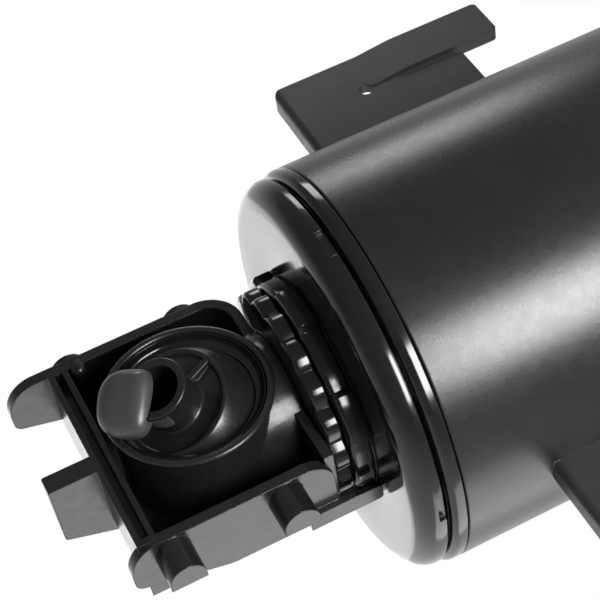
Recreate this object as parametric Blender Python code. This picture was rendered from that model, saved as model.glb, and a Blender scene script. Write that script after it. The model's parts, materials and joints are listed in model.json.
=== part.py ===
"""Internal power filter: a round canister with a pump head on top and a swivelling ball outlet.

The script runs by itself in Blender and makes one object for each piece. Lengths are in metres,
+Z is up, and the origin is the middle of the floor that the filter stands on. The water outlet
faces -Y. Pieces that move hang on an empty that stands on their joint's axis.
"""

import math

import bmesh
import bpy
from mathutils import Matrix, Vector

# ---- Clearances -------------------------------------------------------------------------------
FIT = 0.0003  # between pieces that touch, or fit into each other
RUNNING_GAP = 0.0010  # between what spins and what stands still

# ---- Canister ---------------------------------------------------------------------------------
CANISTER_RADIUS = 0.0550
CANISTER_WALL = 0.0026
TUBE_LENGTH = 0.1893
FOOT_HEIGHT = 0.0020
FOOT_RADIUS = 0.0060
FOOT_PEG_RADIUS = 0.0022
FOOT_INSET = 0.0130  # from the canister's outside in to the feet's middle
FOOT_COUNT = 4
STRAINER_HEIGHT = 0.0420
STRAINER_FLOOR = 0.0030
STRAINER_WALL = 0.0026
STRAINER_EDGE = 0.0030  # rounding under the strainer
SPIGOT_LENGTH = 0.0090
SPIGOT_WALL = 0.0032
SLOT_COUNT = 24
SLOT_WIDTH = 0.0032
SLOT_BAND = 0.0065  # solid band above and below the slots
SEAL_DEPTH = 0.0014  # depth of an O-ring's groove
SEAL_WIDTH = 0.0026
COLLAR_HEIGHT = 0.0041
COLLAR_EDGE = 0.0025
COLLAR_SLEEVE = 0.0080
COLLAR_WALL = 0.0017

# ---- Mounting wings with their snap fingers ---------------------------------------------------
WING_REACH = 0.1035  # from the axis to the wing's outer edge
WING_THICKNESS = 0.0030
WING_FRONT = 0.0037  # from the axis forward to the wing's front face
WING_DROP = 0.0280  # from the collar's top down to the wing's upper edge
WING_HEIGHT = 0.0555
WING_CORNER = 0.0022
WING_EDGE = 0.0024  # rounding along the wing's upper front edge
WING_FLANGE = 0.0030  # height of the flange behind the upper edge
WING_FLANGE_DEPTH = 0.0065  # from the wing's front to the flange's back
FINGER_WIDTH = 0.0140
FINGER_LENGTH = 0.0690
FINGER_SLIT = 0.0015
FINGER_CORNER = 0.0018
FINGER_HOLE_RADIUS = 0.0021
FINGER_HOLE_DROP = 0.0239  # from the wing's upper edge
FINGER_PAD = 0.0012  # how far the finger's outer part stands proud of the wing
FINGER_PAD_LENGTH = 0.0300
FINGER_RAMP = 0.0110  # length of the slope that leads up to it

# ---- End cap ----------------------------------------------------------------------------------
CAP_SET_IN = 0.0010  # from the canister's outside in to the cap's
CAP_GAP = 0.0010  # shadow gap between the collar and the cap's rim
CAP_RIM = 0.0007
CAP_SHOULDER = 0.0063
CAP_PLATE = 0.0030
CAP_LAND = 0.0019  # width of the ring that rests on the collar
PLUG_LENGTH = 0.0130
PLUG_WALL = 0.0027
CAP_SEAL_RISE = 0.0046  # from the plug's end up to its O-ring groove
NOTCH_WIDTH = 0.0083
NOTCH_HEIGHT = 0.0019
NOTCH_ANGLES = (-95.0, -175.0, 85.0, 5.0)
SOCKET_WALL = 0.0033  # wall outside the nut's thread socket
SOCKET_FLOOR = 0.0025
SOCKET_DEPTH = 0.0075

# ---- Neck, union nut and grip ring ------------------------------------------------------------
NECK_RADIUS = 0.0190
NECK_BORE = 0.0140
NECK_TOP_WALL = 0.0024
NECK_SOCKET_DEPTH = 0.0034
SPIGOT_RADIUS = 0.0216
NECK_SPIGOT_LENGTH = 0.0068
NECK_SEAL_SECTION = 0.0034
FLANGE_RADIUS = 0.0268
FLANGE_HEIGHT = 0.0033
NUT_RADIUS = 0.0318
NUT_RECESS = 0.0018
NUT_PADS = 6
NUT_PAD_ANGLE = 26.0
NUT_FIRST_PAD = -89.0
NUT_LIP = 0.0016
NUT_LIP_WIDTH = 0.0065
NUT_EDGE = 0.0014
NUT_SKIRT_WALL = 0.0018
GRIP_RADIUS = 0.0296
GRIP_HEIGHT = 0.0044
GRIP_LOBES = 18
GRIP_LOBE_DEPTH = 0.0018
GRIP_EDGE = 0.0012
GLAND_ANGLE = 49.5
GLAND_GAP = 0.0005  # between the gland and the head's tongue, which swings past it
GLAND_RADIUS = 0.0058
GLAND_STEM = 0.0043
GLAND_BORE = 0.0032
GLAND_HEIGHT = 0.0062
GLAND_FLANGE = 0.0012

# ---- Outlet head, measured from the underside of its end plate --------------------------------
RAIL_HALF_SPAN = 0.0323
RAIL_THICKNESS = 0.0030
RAIL_FRONT = 0.0121
RAIL_BACK = 0.0089
SHORT_RAIL_LENGTH = 0.0554
LONG_RAIL_LENGTH = 0.0643
RAIL_BEND = 0.0100
RAIL_FOOT = 0.0012  # from the end plate's underside up to the short rail's lower edge
RAIL_FOOT_FRONT = 0.0070  # rounding of that edge's ends
RAIL_FOOT_BACK = 0.0060
NOSE_LENGTH = 0.0245  # stretch of a rail whose back edge slants in towards the tip
NOSE_SLANT = 0.0073
NOSE_BEND = 0.0100  # rounding where the slant starts
NOSE_TIP = 0.0028
NOSE_FRONT = 0.0087
END_PLATE = 0.0027
BACK_PLATE = 0.0026
BACK_PLATE_TOP = 0.0480
CROSS_WALL_RISE = 0.0467
CROSS_WALL = 0.0053
CROSS_GROOVE = 0.0022
CROSS_GROOVE_DEPTH = 0.0050
FIN_LEFT = 0.0050
FIN_THICKNESS = 0.0053
FIN_TOP = 0.0650
FIN_BACK = 0.0140
FIN_PEAK = 0.0080  # where the fin's back starts to slope down
FIN_SLOPE = 0.0157
PIN_HEIGHTS = (0.0142, 0.0442)  # on the short rail
PIN_REACH = 0.0095
PAD_HEIGHTS = (0.0139, 0.0456)  # the same half-round form on the long rail, cut short
PAD_REACH = 0.0018
BOSS_RADIUS = 0.0024  # of the small stud inside the long rail, under the cross wall
BOSS_REACH = 0.0028
BOSS_SET_BACK = 0.0019  # from the rail's front edge to the stud's middle
PIN_WIDTH = 0.0094
PIN_DEPTH = 0.0066
PIN_SET_BACK = 0.0002  # behind the rail's front edge
TONGUE_WIDTH = 0.0050
TONGUE_THICKNESS = 0.0018
TONGUE_CORNER = 0.0010
TONGUE_GAP = 0.0006  # above the cap's face

# ---- Outlet cup and ball nozzle ---------------------------------------------------------------
CUP_RISE = 0.02425
BALL_SET_FORWARD = 0.0088  # from the neck's axis to the ball's centre
BALL_RADIUS = 0.0180
LIP_FORWARD = 0.0104  # from the ball's centre to the cup's front
CUP_RADIUS = 0.0205
LIP_RADIUS = 0.0219
LIP_HEIGHT = 0.0028
RING_WALL = 0.0013  # of the retaining ring, outside the ball's widest place
RING_SET_BACK = 0.0006
RING_MOUTH = 0.0074  # from the ball's centre to the ring's inner edge
RING_LAND = 0.0002  # flat round that edge, before the hollow that leads out to the lip
SEAT_DEPTH = 0.0118  # from the ball's centre back to the seat's shoulder
CHAMBER_RADIUS = 0.0165
CUP_BACK = 0.0233  # from the ball's centre to the cup's closed end
CUP_BACK_WALL = 0.0030
PASSAGE_WIDTH = 0.0200
FACE_OFFSET = 0.0109  # from the ball's centre to its cut face
FACE_RECESS = 0.0014
FACE_RIM = 0.0011
JET_RADIUS = 0.0070
JET_BORE = 0.0059
JET_REACH = 0.0205
JET_RIM_RADIUS = 0.0081
JET_RIM_HEIGHT = 0.0014
JET_RIB = 0.0016  # thickness of the rib between the jet's tube and the face's rim
JET_RIB_HEIGHT = 0.0026
BACK_BORE = 0.0100
NOZZLE_TURN = 12.6
NOZZLE_TILT = 22.0
HOOD_TURN = -30.0
HOOD_RADIUS = 0.0087
HOOD_THROW = 0.0081  # from the jet's axis to the centre of the hood's round end
HOOD_START = 0.0006
HOOD_START_RADIUS = 0.0080
HOOD_START_EDGE = 0.0010
HOOD_CENTRE = 0.0163  # from the ball's centre along the jet
HOOD_UNDERSIDE = 0.0183
CLIP_WALL = 0.0009
CLIP_LENGTH = 0.0040

# ---- Pump, measured up from the casing's underside --------------------------------------------
CASING_LENGTH = 0.0687
CASING_WALL = 0.0020
EYE_RADIUS = 0.0110
SPIDER_ARMS = 3
SPIDER_ARM_WIDTH = 0.0022
HUB_RADIUS = 0.0054
HUB_DEPTH = 0.0020
HUB_RISE = 0.0010  # above the casing's floor
HUB_FLOOR = 0.0010  # under the lower bush
CORE_SLEEVE_LENGTH = 0.0080
CORE_SLEEVE_WALL = 0.0020
CHAMBER_HEIGHT = 0.0080
POD_RADIUS = 0.0240
POD_WALL = 0.0020
POD_LENGTH = 0.0400
POD_NOSE = 0.0060  # rounding of the pod's closed end
POD_RIBS = 3
POD_RIB_THICKNESS = 0.0024
CAN_BORE = 0.0073
CAN_WALL = 0.0012
CAN_LENGTH = 0.0320
CAN_FLANGE = 0.0025
STATOR_HEIGHT = 0.0180
STATOR_RING = 0.0042
STATOR_RISE = 0.0060  # from the pod's open end
POLE_WIDTH = 0.0080
COIL_WALL = 0.0040
COIL_RISE = 0.0027  # past each end of the stator
COIL_INNER = 0.0100
COIL_OUTER = 0.0144
SHAFT_RADIUS = 0.0015
MAGNET_RADIUS = 0.0064
MAGNET_LENGTH = 0.0240
MAGNET_RISE = 0.0015  # above the can's flange
BUSH_RADIUS = 0.0033
TOP_BUSH_HEIGHT = 0.0018
IMPELLER_RADIUS = 0.0170
IMPELLER_PLATE = 0.0015
IMPELLER_HUB = 0.0050
BLADE_COUNT = 6
BLADE_HEIGHT = 0.0042
BLADE_THICKNESS = 0.0013
BLADE_SWEEP = 35.0

# ---- Foam cartridge and its core --------------------------------------------------------------
FOAM_CLEARANCE = 0.0029  # to the strainer's spigot, so that the cartridge lifts out
CORE_RADIUS = 0.0140
CORE_WALL = 0.0016
CORE_BOSS_HEIGHT = 0.0080
CORE_SLOT_ROWS = 2
CORE_SLOTS = 6
CORE_SLOT_WIDTH = 0.0040
CORE_SLOT_LENGTH = 0.0600

# ---- Worked out from the sizes above ----------------------------------------------------------
FOOT_CIRCLE = CANISTER_RADIUS - FOOT_INSET
STRAINER_TOP = FOOT_HEIGHT + STRAINER_HEIGHT
FLOOR_TOP = FOOT_HEIGHT + STRAINER_FLOOR
TUBE_BOTTOM = STRAINER_TOP + FIT
TUBE_TOP = TUBE_BOTTOM + TUBE_LENGTH
COLLAR_BOTTOM = TUBE_TOP + FIT
COLLAR_TOP = COLLAR_BOTTOM + COLLAR_HEIGHT
TUBE_BORE = CANISTER_RADIUS - CANISTER_WALL
SLEEVE_RADIUS = TUBE_BORE - FIT
COLLAR_BORE = SLEEVE_RADIUS - COLLAR_WALL
FOAM_RADIUS = SLEEVE_RADIUS - SPIGOT_WALL - FOAM_CLEARANCE
PLUG_RADIUS = COLLAR_BORE - FIT
PLUG_BORE = PLUG_RADIUS - PLUG_WALL
CAP_RADIUS = CANISTER_RADIUS - CAP_SET_IN
CAP_TOP = CAP_GAP + CAP_RIM + CAP_SHOULDER
CAP_UNDERSIDE = CAP_TOP - CAP_PLATE
PLUG_BOTTOM = FIT - PLUG_LENGTH
CAP_BORE = SPIGOT_RADIUS + NECK_SEAL_SECTION - SEAL_DEPTH + 2 * FIT
NUT_BORE = FLANGE_RADIUS + 2 * FIT
SKIRT_INNER = NUT_BORE + FIT
SKIRT_OUTER = SKIRT_INNER + NUT_SKIRT_WALL
FLANGE_BOTTOM = CAP_TOP + FIT
FLANGE_TOP = FLANGE_BOTTOM + FLANGE_HEIGHT
NUT_TOP = FLANGE_TOP + FIT + NUT_LIP
GRIP_BOTTOM = NUT_TOP + FIT
PLATE_BOTTOM = GRIP_BOTTOM + GRIP_HEIGHT + FIT
TONGUE_INNER = NUT_RADIUS + 2 * FIT
TONGUE_SWEEP = math.hypot(TONGUE_INNER + TONGUE_THICKNESS, RAIL_BACK)
GLAND_CIRCLE = TONGUE_SWEEP + GLAND_GAP + GLAND_RADIUS
CASING_RADIUS = PLUG_BORE - FIT
CASING_BOTTOM = CAP_UNDERSIDE - FIT - CASING_LENGTH
CHAMBER_TOP = CASING_WALL + CHAMBER_HEIGHT
CUP_BORE = BALL_RADIUS + FIT + RING_WALL + FIT
CORE_BOTTOM = FLOOR_TOP + FIT
CORE_TOP = COLLAR_TOP + CASING_BOTTOM - FIT
FOAM_TOP = COLLAR_TOP + CASING_BOTTOM - CORE_SLEEVE_LENGTH - FIT

# ---- Facets -----------------------------------------------------------------------------------
LARGE_STEPS = 48
BALL_STEPS = 36
MEDIUM_STEPS = 24
SMALL_STEPS = 12
OVERCUT = 0.0010  # how far a cutter runs past the faces that it cuts


# ==== Modelling tools ==========================================================================
def clear_scene():
    for obj in list(bpy.data.objects):
        bpy.data.objects.remove(obj, do_unlink=True)


def plastic(name, colour, roughness, metallic=0.0):
    material = bpy.data.materials.new(name)
    material.use_nodes = True
    shader = material.node_tree.nodes["Principled BSDF"]
    shader.inputs["Base Color"].default_value = (*colour, 1.0)
    shader.inputs["Roughness"].default_value = roughness
    shader.inputs["Metallic"].default_value = metallic
    material.diffuse_color = (*colour, 1.0)
    return material


def solid_from(bm):
    """Closes the bmesh into a helper object whose faces point out."""
    bmesh.ops.remove_doubles(bm, verts=bm.verts, dist=1e-6)
    bmesh.ops.recalc_face_normals(bm, faces=bm.faces)
    mesh = bpy.data.meshes.new("solid")
    bm.to_mesh(mesh)
    bm.free()
    obj = bpy.data.objects.new("solid", mesh)
    bpy.context.scene.collection.objects.link(obj)
    return obj


def revolve(profile, steps):
    """Turns a profile of (radius, height) points about Z.

    A profile that starts and ends on the axis is left open there, and any other is a closed loop.
    """
    bm = bmesh.new()
    verts = [bm.verts.new((radius, 0.0, height)) for radius, height in profile]
    edges = [bm.edges.new(pair) for pair in zip(verts, verts[1:])]
    if profile[0][0] > 0.0 or profile[-1][0] > 0.0:
        edges.append(bm.edges.new((verts[-1], verts[0])))
    bmesh.ops.spin(
        bm, geom=verts + edges, cent=(0, 0, 0), axis=(0, 0, 1), dvec=(0, 0, 0),
        angle=math.tau, steps=steps, use_merge=True, use_duplicate=False,
    )
    return solid_from(bm)


def prism(outline, low, high, axis="Z"):
    """Extrudes an outline along an axis. Its points are the other two coordinates, in order."""
    place = {
        "X": lambda a, b: (low, a, b),
        "Y": lambda a, b: (a, low, b),
        "Z": lambda a, b: (a, b, low),
    }[axis]
    direction = Vector([float(axis == letter) for letter in "XYZ"])
    bm = bmesh.new()
    face = bm.faces.new([bm.verts.new(place(a, b)) for a, b in outline])
    made = bmesh.ops.extrude_face_region(bm, geom=[face])
    top = [item for item in made["geom"] if isinstance(item, bmesh.types.BMVert)]
    bmesh.ops.translate(bm, verts=top, vec=direction * (high - low))
    return solid_from(bm)


def box(x, y, z):
    return prism(((x[0], y[0]), (x[1], y[0]), (x[1], y[1]), (x[0], y[1])), z[0], z[1])


def arc(centre, radius, start, end, steps):
    """Points along an arc, with its ends. The angles are in degrees."""
    angles = [math.radians(start + (end - start) * i / steps) for i in range(steps + 1)]
    return [(centre[0] + radius * math.cos(a), centre[1] + radius * math.sin(a)) for a in angles]


def circle(radius, steps, centre=(0.0, 0.0)):
    return arc(centre, radius, 0.0, 360.0, steps)[:-1]


def corner_reaches(corners):
    """How far each corner's rounding runs along its edges, held back where two would meet."""
    places = [Vector(corner[:2]) for corner in corners]
    reaches = []
    for i, (a, b, radius) in enumerate(corners):
        back = places[i - 1] - places[i]
        ahead = places[(i + 1) % len(places)] - places[i]
        reaches.append(radius / math.tan(back.angle(ahead) / 2))
    shares = []
    for i in range(len(places)):
        wanted = reaches[i - 1] + reaches[i]
        length = (places[i] - places[i - 1]).length
        shares.append(min(1.0, length / wanted) if wanted > 0.0 else 1.0)
    return [reach * min(shares[i], shares[(i + 1) % len(shares)]) for i, reach in enumerate(reaches)]


def rounded(corners, steps=5):
    """An outline from (a, b, radius) corners, with each corner rounded to its radius."""
    points = []
    for i, reach in enumerate(corner_reaches(corners)):
        corner = Vector(corners[i][:2])
        if reach <= 0.0:
            points.append(tuple(corner))
            continue
        back = (Vector(corners[i - 1][:2]) - corner).normalized()
        ahead = (Vector(corners[(i + 1) % len(corners)][:2]) - corner).normalized()
        half = back.angle(ahead) / 2
        centre = corner + (back + ahead).normalized() * (reach / math.cos(half))
        first = corner + back * reach - centre
        last = corner + ahead * reach - centre
        sweep = first.angle_signed(last)
        for step in range(steps + 1):
            spoke = first.copy()
            spoke.rotate(Matrix.Rotation(-sweep * step / steps, 2))
            points.append(tuple(centre + spoke))
    return points


def moved(obj, matrix):
    obj.data.transform(matrix)
    return obj


def spun(obj, degrees):
    return moved(obj, Matrix.Rotation(math.radians(degrees), 4, "Z"))


def together(objects):
    """Puts solids that don't touch each other into one helper object."""
    bm = bmesh.new()
    for obj in objects:
        bm.from_mesh(obj.data)
        bpy.data.objects.remove(obj)
    return solid_from(bm)


def combine(target, tools, operation):
    """Joins, cuts or intersects the target with each tool in turn, and removes the tools."""
    for tool in tools:
        modifier = target.modifiers.new(operation.title(), "BOOLEAN")
        modifier.operation = operation
        modifier.solver = "EXACT"
        modifier.object = tool
        graph = bpy.context.evaluated_depsgraph_get()
        mesh = bpy.data.meshes.new_from_object(target.evaluated_get(graph))
        target.modifiers.clear()
        target.data = mesh
        bpy.data.objects.remove(tool)
    return target


def join(target, *tools):
    return combine(target, tools, "UNION")


def cut(target, *tools):
    return combine(target, tools, "DIFFERENCE")


def common(target, *tools):
    return combine(target, tools, "INTERSECT")


def axis_frame(name, location=(0.0, 0.0, 0.0), rotation=(0.0, 0.0, 0.0), parent=None):
    """An empty that carries the pieces of one moving body. Its Z is the body's main axis."""
    empty = bpy.data.objects.new(name, None)
    empty.empty_display_size = CANISTER_RADIUS / 2
    empty.location = location
    empty.rotation_euler = [math.radians(angle) for angle in rotation]
    empty.parent = parent
    bpy.context.scene.collection.objects.link(empty)
    return empty


def piece(name, obj, material, parent):
    """Names a finished solid, gives it its material and hangs it on its frame."""
    obj.name = name
    obj.data.name = name
    obj.data.materials.clear()
    obj.data.materials.append(material)
    obj.data.shade_smooth()
    obj.data.set_sharp_from_angle(angle=math.radians(32))
    obj.parent = parent
    return obj


def ring(inner, outer, low, high, steps):
    return revolve(((inner, low), (outer, low), (outer, high), (inner, high)), steps)


def rod(radius, low, high, steps):
    return prism(circle(radius, steps), low, high)


def slots(count, radius_low, radius_high, width, low, high):
    """Radial cutters, evenly spaced round the Z axis."""
    cutters = []
    for i in range(count):
        blade = box((radius_low, radius_high), (-width / 2, width / 2), (low, high))
        cutters.append(spun(blade, 360.0 * i / count))
    return together(cutters)


# ==== Canister =================================================================================
def base_strainer():
    """The slotted base: a floor, a slotted wall, a spigot for the tube and a boss for the core."""
    outer = CANISTER_RADIUS
    inner = CANISTER_RADIUS - STRAINER_WALL
    spigot_bore = SLEEVE_RADIUS - SPIGOT_WALL
    edge = arc((outer - STRAINER_EDGE, FOOT_HEIGHT + STRAINER_EDGE), STRAINER_EDGE, -90, 0, 3)
    profile = [
        (0.0, FOOT_HEIGHT), *edge, (outer, STRAINER_TOP), (SLEEVE_RADIUS, STRAINER_TOP),
        (SLEEVE_RADIUS, STRAINER_TOP + SPIGOT_LENGTH),
        (spigot_bore, STRAINER_TOP + SPIGOT_LENGTH), (spigot_bore, STRAINER_TOP - STRAINER_WALL),
        (inner, STRAINER_TOP - 2 * STRAINER_WALL), (inner, FLOOR_TOP), (0.0, FLOOR_TOP),
    ]
    body = revolve(profile, LARGE_STEPS)
    boss = rod(CORE_RADIUS - CORE_WALL - FIT, FLOOR_TOP - OVERCUT, FLOOR_TOP + CORE_BOSS_HEIGHT, SMALL_STEPS)
    low = FOOT_HEIGHT + SLOT_BAND
    high = STRAINER_TOP - SLOT_BAND
    slot_cutters = slots(SLOT_COUNT, inner - OVERCUT, outer + OVERCUT, SLOT_WIDTH, low, high)
    peg_holes = []
    for x, y in foot_places():
        hole = circle(FOOT_PEG_RADIUS + FIT, SMALL_STEPS, (x, y))
        peg_holes.append(prism(hole, FOOT_HEIGHT - OVERCUT, FLOOR_TOP + OVERCUT))
    return cut(join(body, boss), slot_cutters, together(peg_holes))


def foot_places():
    return [point for point in arc((0, 0), FOOT_CIRCLE, 45, 405, FOOT_COUNT)][:FOOT_COUNT]


def rubber_foot():
    """A disc under the floor with a peg that goes up through it."""
    top = FOOT_HEIGHT - FIT
    profile = (
        (0.0, 0.0), (FOOT_RADIUS, 0.0), (FOOT_RADIUS, top),
        (FOOT_PEG_RADIUS, top), (FOOT_PEG_RADIUS, FLOOR_TOP - FIT), (0.0, FLOOR_TOP - FIT),
    )
    return revolve(profile, SMALL_STEPS)


def o_ring(groove_radius, bore, low, steps):
    """A seal in its groove: groove_radius is the groove's floor, bore the wall that it seals."""
    return ring(groove_radius + FIT, bore - FIT, low + FIT, low + SEAL_WIDTH - FIT, steps)


def wing_outline():
    """One mounting wing in the XZ plane: a plate, and a snap finger behind a narrow slit."""
    top = COLLAR_TOP - WING_DROP
    bottom = top - WING_HEIGHT
    root = CANISTER_RADIUS - CANISTER_WALL / 2
    slit = WING_REACH - FINGER_WIDTH
    finger_end = top - FINGER_LENGTH
    hole_top = top - FINGER_HOLE_DROP
    return rounded((
        (root, top, 0), (WING_REACH, top, WING_CORNER), (WING_REACH, finger_end, FINGER_CORNER),
        (slit, finger_end, FINGER_CORNER), (slit, hole_top, 0), (slit - FINGER_SLIT, hole_top, 0),
        (slit - FINGER_SLIT, bottom, FINGER_CORNER), (root, bottom, 0),
    ), 3)


def wing_flange():
    """The flange along the wing's upper edge, with the wing's outer corner."""
    top = COLLAR_TOP - WING_DROP
    root = CANISTER_RADIUS - CANISTER_WALL / 2
    outline = rounded((
        (root, top, 0), (WING_REACH, top, WING_CORNER),
        (WING_REACH, top - WING_FLANGE, 0), (root, top - WING_FLANGE, 0),
    ), 3)
    return prism(outline, WING_THICKNESS / 2 - WING_FRONT, WING_FLANGE_DEPTH - WING_FRONT, "Y")


def finger_pad():
    """The finger's thicker outer part and the slope up to it, in the YZ plane along X."""
    front = -WING_FRONT
    tip = COLLAR_TOP - WING_DROP - FINGER_LENGTH
    outline = (
        (front + WING_THICKNESS / 2, tip), (front - FINGER_PAD, tip),
        (front - FINGER_PAD, tip + FINGER_PAD_LENGTH),
        (front, tip + FINGER_PAD_LENGTH + FINGER_RAMP),
        (front + WING_THICKNESS / 2, tip + FINGER_PAD_LENGTH + FINGER_RAMP),
    )
    face = rounded((
        (WING_REACH - FINGER_WIDTH, tip, FINGER_CORNER), (WING_REACH, tip, FINGER_CORNER),
        (WING_REACH, COLLAR_TOP, 0), (WING_REACH - FINGER_WIDTH, COLLAR_TOP, 0),
    ), 3)
    pad = prism(outline, WING_REACH - FINGER_WIDTH - OVERCUT, WING_REACH + OVERCUT, "X")
    return common(pad, prism(face, -WING_THICKNESS - WING_FRONT, WING_THICKNESS, "Y"))


def edge_cutter(top):
    """What the rounding along the wing's upper front edge takes away."""
    front = -WING_FRONT
    inner = arc((front + WING_EDGE, top - WING_EDGE), WING_EDGE, 180, 90, 3)
    outline = [(front - OVERCUT, top - WING_EDGE), *inner, (front + WING_EDGE, top + OVERCUT),
               (front - OVERCUT, top + OVERCUT)]
    return prism(outline, CANISTER_RADIUS, WING_REACH + OVERCUT, "X")


def wing(side):
    """A wing on one side of the tube, as a solid that overlaps the tube's wall."""
    top = COLLAR_TOP - WING_DROP
    front = -WING_FRONT
    back = front + WING_THICKNESS
    plate = prism(wing_outline(), front, back, "Y")
    slit_middle = WING_REACH - FINGER_WIDTH - FINGER_SLIT / 2
    centre = (slit_middle, top - FINGER_HOLE_DROP)
    hole = prism(circle(FINGER_HOLE_RADIUS, 16, centre), front - OVERCUT, back + OVERCUT, "Y")
    made = cut(join(plate, wing_flange(), finger_pad()), hole, edge_cutter(top))
    if side < 0:
        moved(made, Matrix.Scale(-1, 4, (1, 0, 0)))
        made.data.flip_normals()
    return made


def canister_body():
    """The tube with its two wings, moulded in one piece."""
    tube = revolve((
        (TUBE_BORE, TUBE_BOTTOM), (CANISTER_RADIUS, TUBE_BOTTOM),
        (CANISTER_RADIUS, TUBE_TOP), (TUBE_BORE, TUBE_TOP),
    ), LARGE_STEPS)
    return join(tube, wing(1), wing(-1))


def canister_collar():
    """The bright rounded ring that closes the tube's upper end, with a sleeve inside the tube."""
    top_radius = CANISTER_RADIUS - COLLAR_EDGE
    bead = arc((top_radius, COLLAR_TOP - COLLAR_EDGE), COLLAR_EDGE, 0, 90, 4)
    profile = [
        (COLLAR_BORE, COLLAR_BOTTOM - COLLAR_SLEEVE), (SLEEVE_RADIUS, COLLAR_BOTTOM - COLLAR_SLEEVE),
        (SLEEVE_RADIUS, COLLAR_BOTTOM), (CANISTER_RADIUS, COLLAR_BOTTOM), *bead,
        (COLLAR_BORE, COLLAR_TOP),
    ]
    return revolve(profile, LARGE_STEPS)


def foam_cartridge():
    bore = CORE_RADIUS + 2 * FIT
    return ring(bore, FOAM_RADIUS, FLOOR_TOP + FIT, FOAM_TOP, MEDIUM_STEPS)


def core_tube():
    """The slotted pipe inside the foam, which the pump draws from."""
    pipe = ring(CORE_RADIUS - CORE_WALL, CORE_RADIUS, CORE_BOTTOM, CORE_TOP, SMALL_STEPS)
    low = FLOOR_TOP + CORE_BOSS_HEIGHT
    pitch = (FOAM_TOP - low) / CORE_SLOT_ROWS
    rows = []
    for row in range(CORE_SLOT_ROWS):
        start = low + pitch * row + (pitch - CORE_SLOT_LENGTH) / 2
        inner = CORE_RADIUS - CORE_WALL - OVERCUT
        outer = CORE_RADIUS + OVERCUT
        rows.append(slots(CORE_SLOTS, inner, outer, CORE_SLOT_WIDTH, start, start + CORE_SLOT_LENGTH))
    return cut(pipe, together(rows))


# ==== End cap and the union that holds the outlet ==============================================
def end_cap():
    """The glossy cap: a plug in the collar, a rounded shoulder and the union's thread socket."""
    flat = CAP_RADIUS - CAP_SHOULDER
    land = PLUG_RADIUS + CAP_LAND
    groove = PLUG_RADIUS - SEAL_DEPTH
    groove_low = PLUG_BOTTOM + CAP_SEAL_RISE
    groove_high = groove_low + SEAL_WIDTH
    socket_outer = SKIRT_OUTER + FIT
    socket_bottom = CAP_TOP - SOCKET_DEPTH
    hub = socket_outer + SOCKET_WALL
    shoulder = arc((flat, CAP_TOP - CAP_SHOULDER), CAP_SHOULDER, 0, 90, 5)
    profile = [
        (CAP_BORE, socket_bottom - SOCKET_FLOOR), (hub, socket_bottom - SOCKET_FLOOR),
        (hub, CAP_UNDERSIDE), (PLUG_BORE, CAP_UNDERSIDE), (PLUG_BORE, PLUG_BOTTOM),
        (PLUG_RADIUS, PLUG_BOTTOM), (PLUG_RADIUS, groove_low), (groove, groove_low),
        (groove, groove_high), (PLUG_RADIUS, groove_high), (PLUG_RADIUS, FIT), (land, FIT),
        (land, CAP_GAP), (CAP_RADIUS, CAP_GAP), *shoulder, (socket_outer, CAP_TOP),
        (socket_outer, socket_bottom), (NUT_BORE, socket_bottom), (NUT_BORE, CAP_TOP),
        (CAP_BORE, CAP_TOP),
    ]
    body = revolve(profile, LARGE_STEPS)
    notches = []
    for angle in NOTCH_ANGLES:
        notch = box((land + FIT, CAP_RADIUS + OVERCUT), (-NOTCH_WIDTH / 2, NOTCH_WIDTH / 2),
                    (CAP_GAP - OVERCUT, CAP_GAP + NOTCH_HEIGHT))
        notches.append(spun(notch, angle))
    gland_hole = prism(circle(GLAND_STEM + FIT, SMALL_STEPS, gland_place()),
                       CAP_UNDERSIDE - OVERCUT, CAP_TOP + OVERCUT)
    return cut(body, together(notches), gland_hole)


def gland_place():
    angle = math.radians(GLAND_ANGLE)
    return (GLAND_CIRCLE * math.cos(angle), GLAND_CIRCLE * math.sin(angle))


def cable_gland():
    """The empty cable inlet: a flanged bush with a domed nut, through the cap's face."""
    base = CAP_TOP + FIT
    top = base + GLAND_HEIGHT
    body = GLAND_RADIUS - GLAND_FLANGE / 2
    dome = arc((GLAND_BORE, top - (body - GLAND_BORE)), body - GLAND_BORE, 0, 70, 2)
    profile = [
        (GLAND_BORE, CAP_UNDERSIDE + FIT), (GLAND_STEM, CAP_UNDERSIDE + FIT), (GLAND_STEM, base),
        (GLAND_RADIUS, base), (GLAND_RADIUS, base + GLAND_FLANGE), (body, base + GLAND_FLANGE),
        *dome, (GLAND_BORE, top),
    ]
    gland = revolve(profile, SMALL_STEPS)
    return moved(gland, Matrix.Translation((*gland_place(), 0.0)))


def nut_outline(radius):
    """The nut's outline at its pads' radius: six pads with shallow recesses between them."""
    pitch = 360.0 / NUT_PADS
    recess = radius - NUT_RECESS
    flank = 3.0
    points = []
    for i in range(NUT_PADS):
        start = NUT_FIRST_PAD - NUT_PAD_ANGLE / 2 + pitch * i
        end = start + NUT_PAD_ANGLE
        points += arc((0, 0), radius, start + flank / 2, end - flank / 2, 4)
        points += arc((0, 0), recess, end + flank / 2, start + pitch - flank / 2, 3)
    return points


def lofted(sections):
    """A solid through outlines of equal length, each given as (points, height)."""
    bm = bmesh.new()
    loops = [[bm.verts.new((x, y, height)) for x, y in points] for points, height in sections]
    for low, high in zip(loops, loops[1:]):
        for i in range(len(low)):
            bm.faces.new((low[i - 1], low[i], high[i], high[i - 1]))
    bm.faces.new(loops[0])
    bm.faces.new(loops[-1])
    return solid_from(bm)


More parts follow.
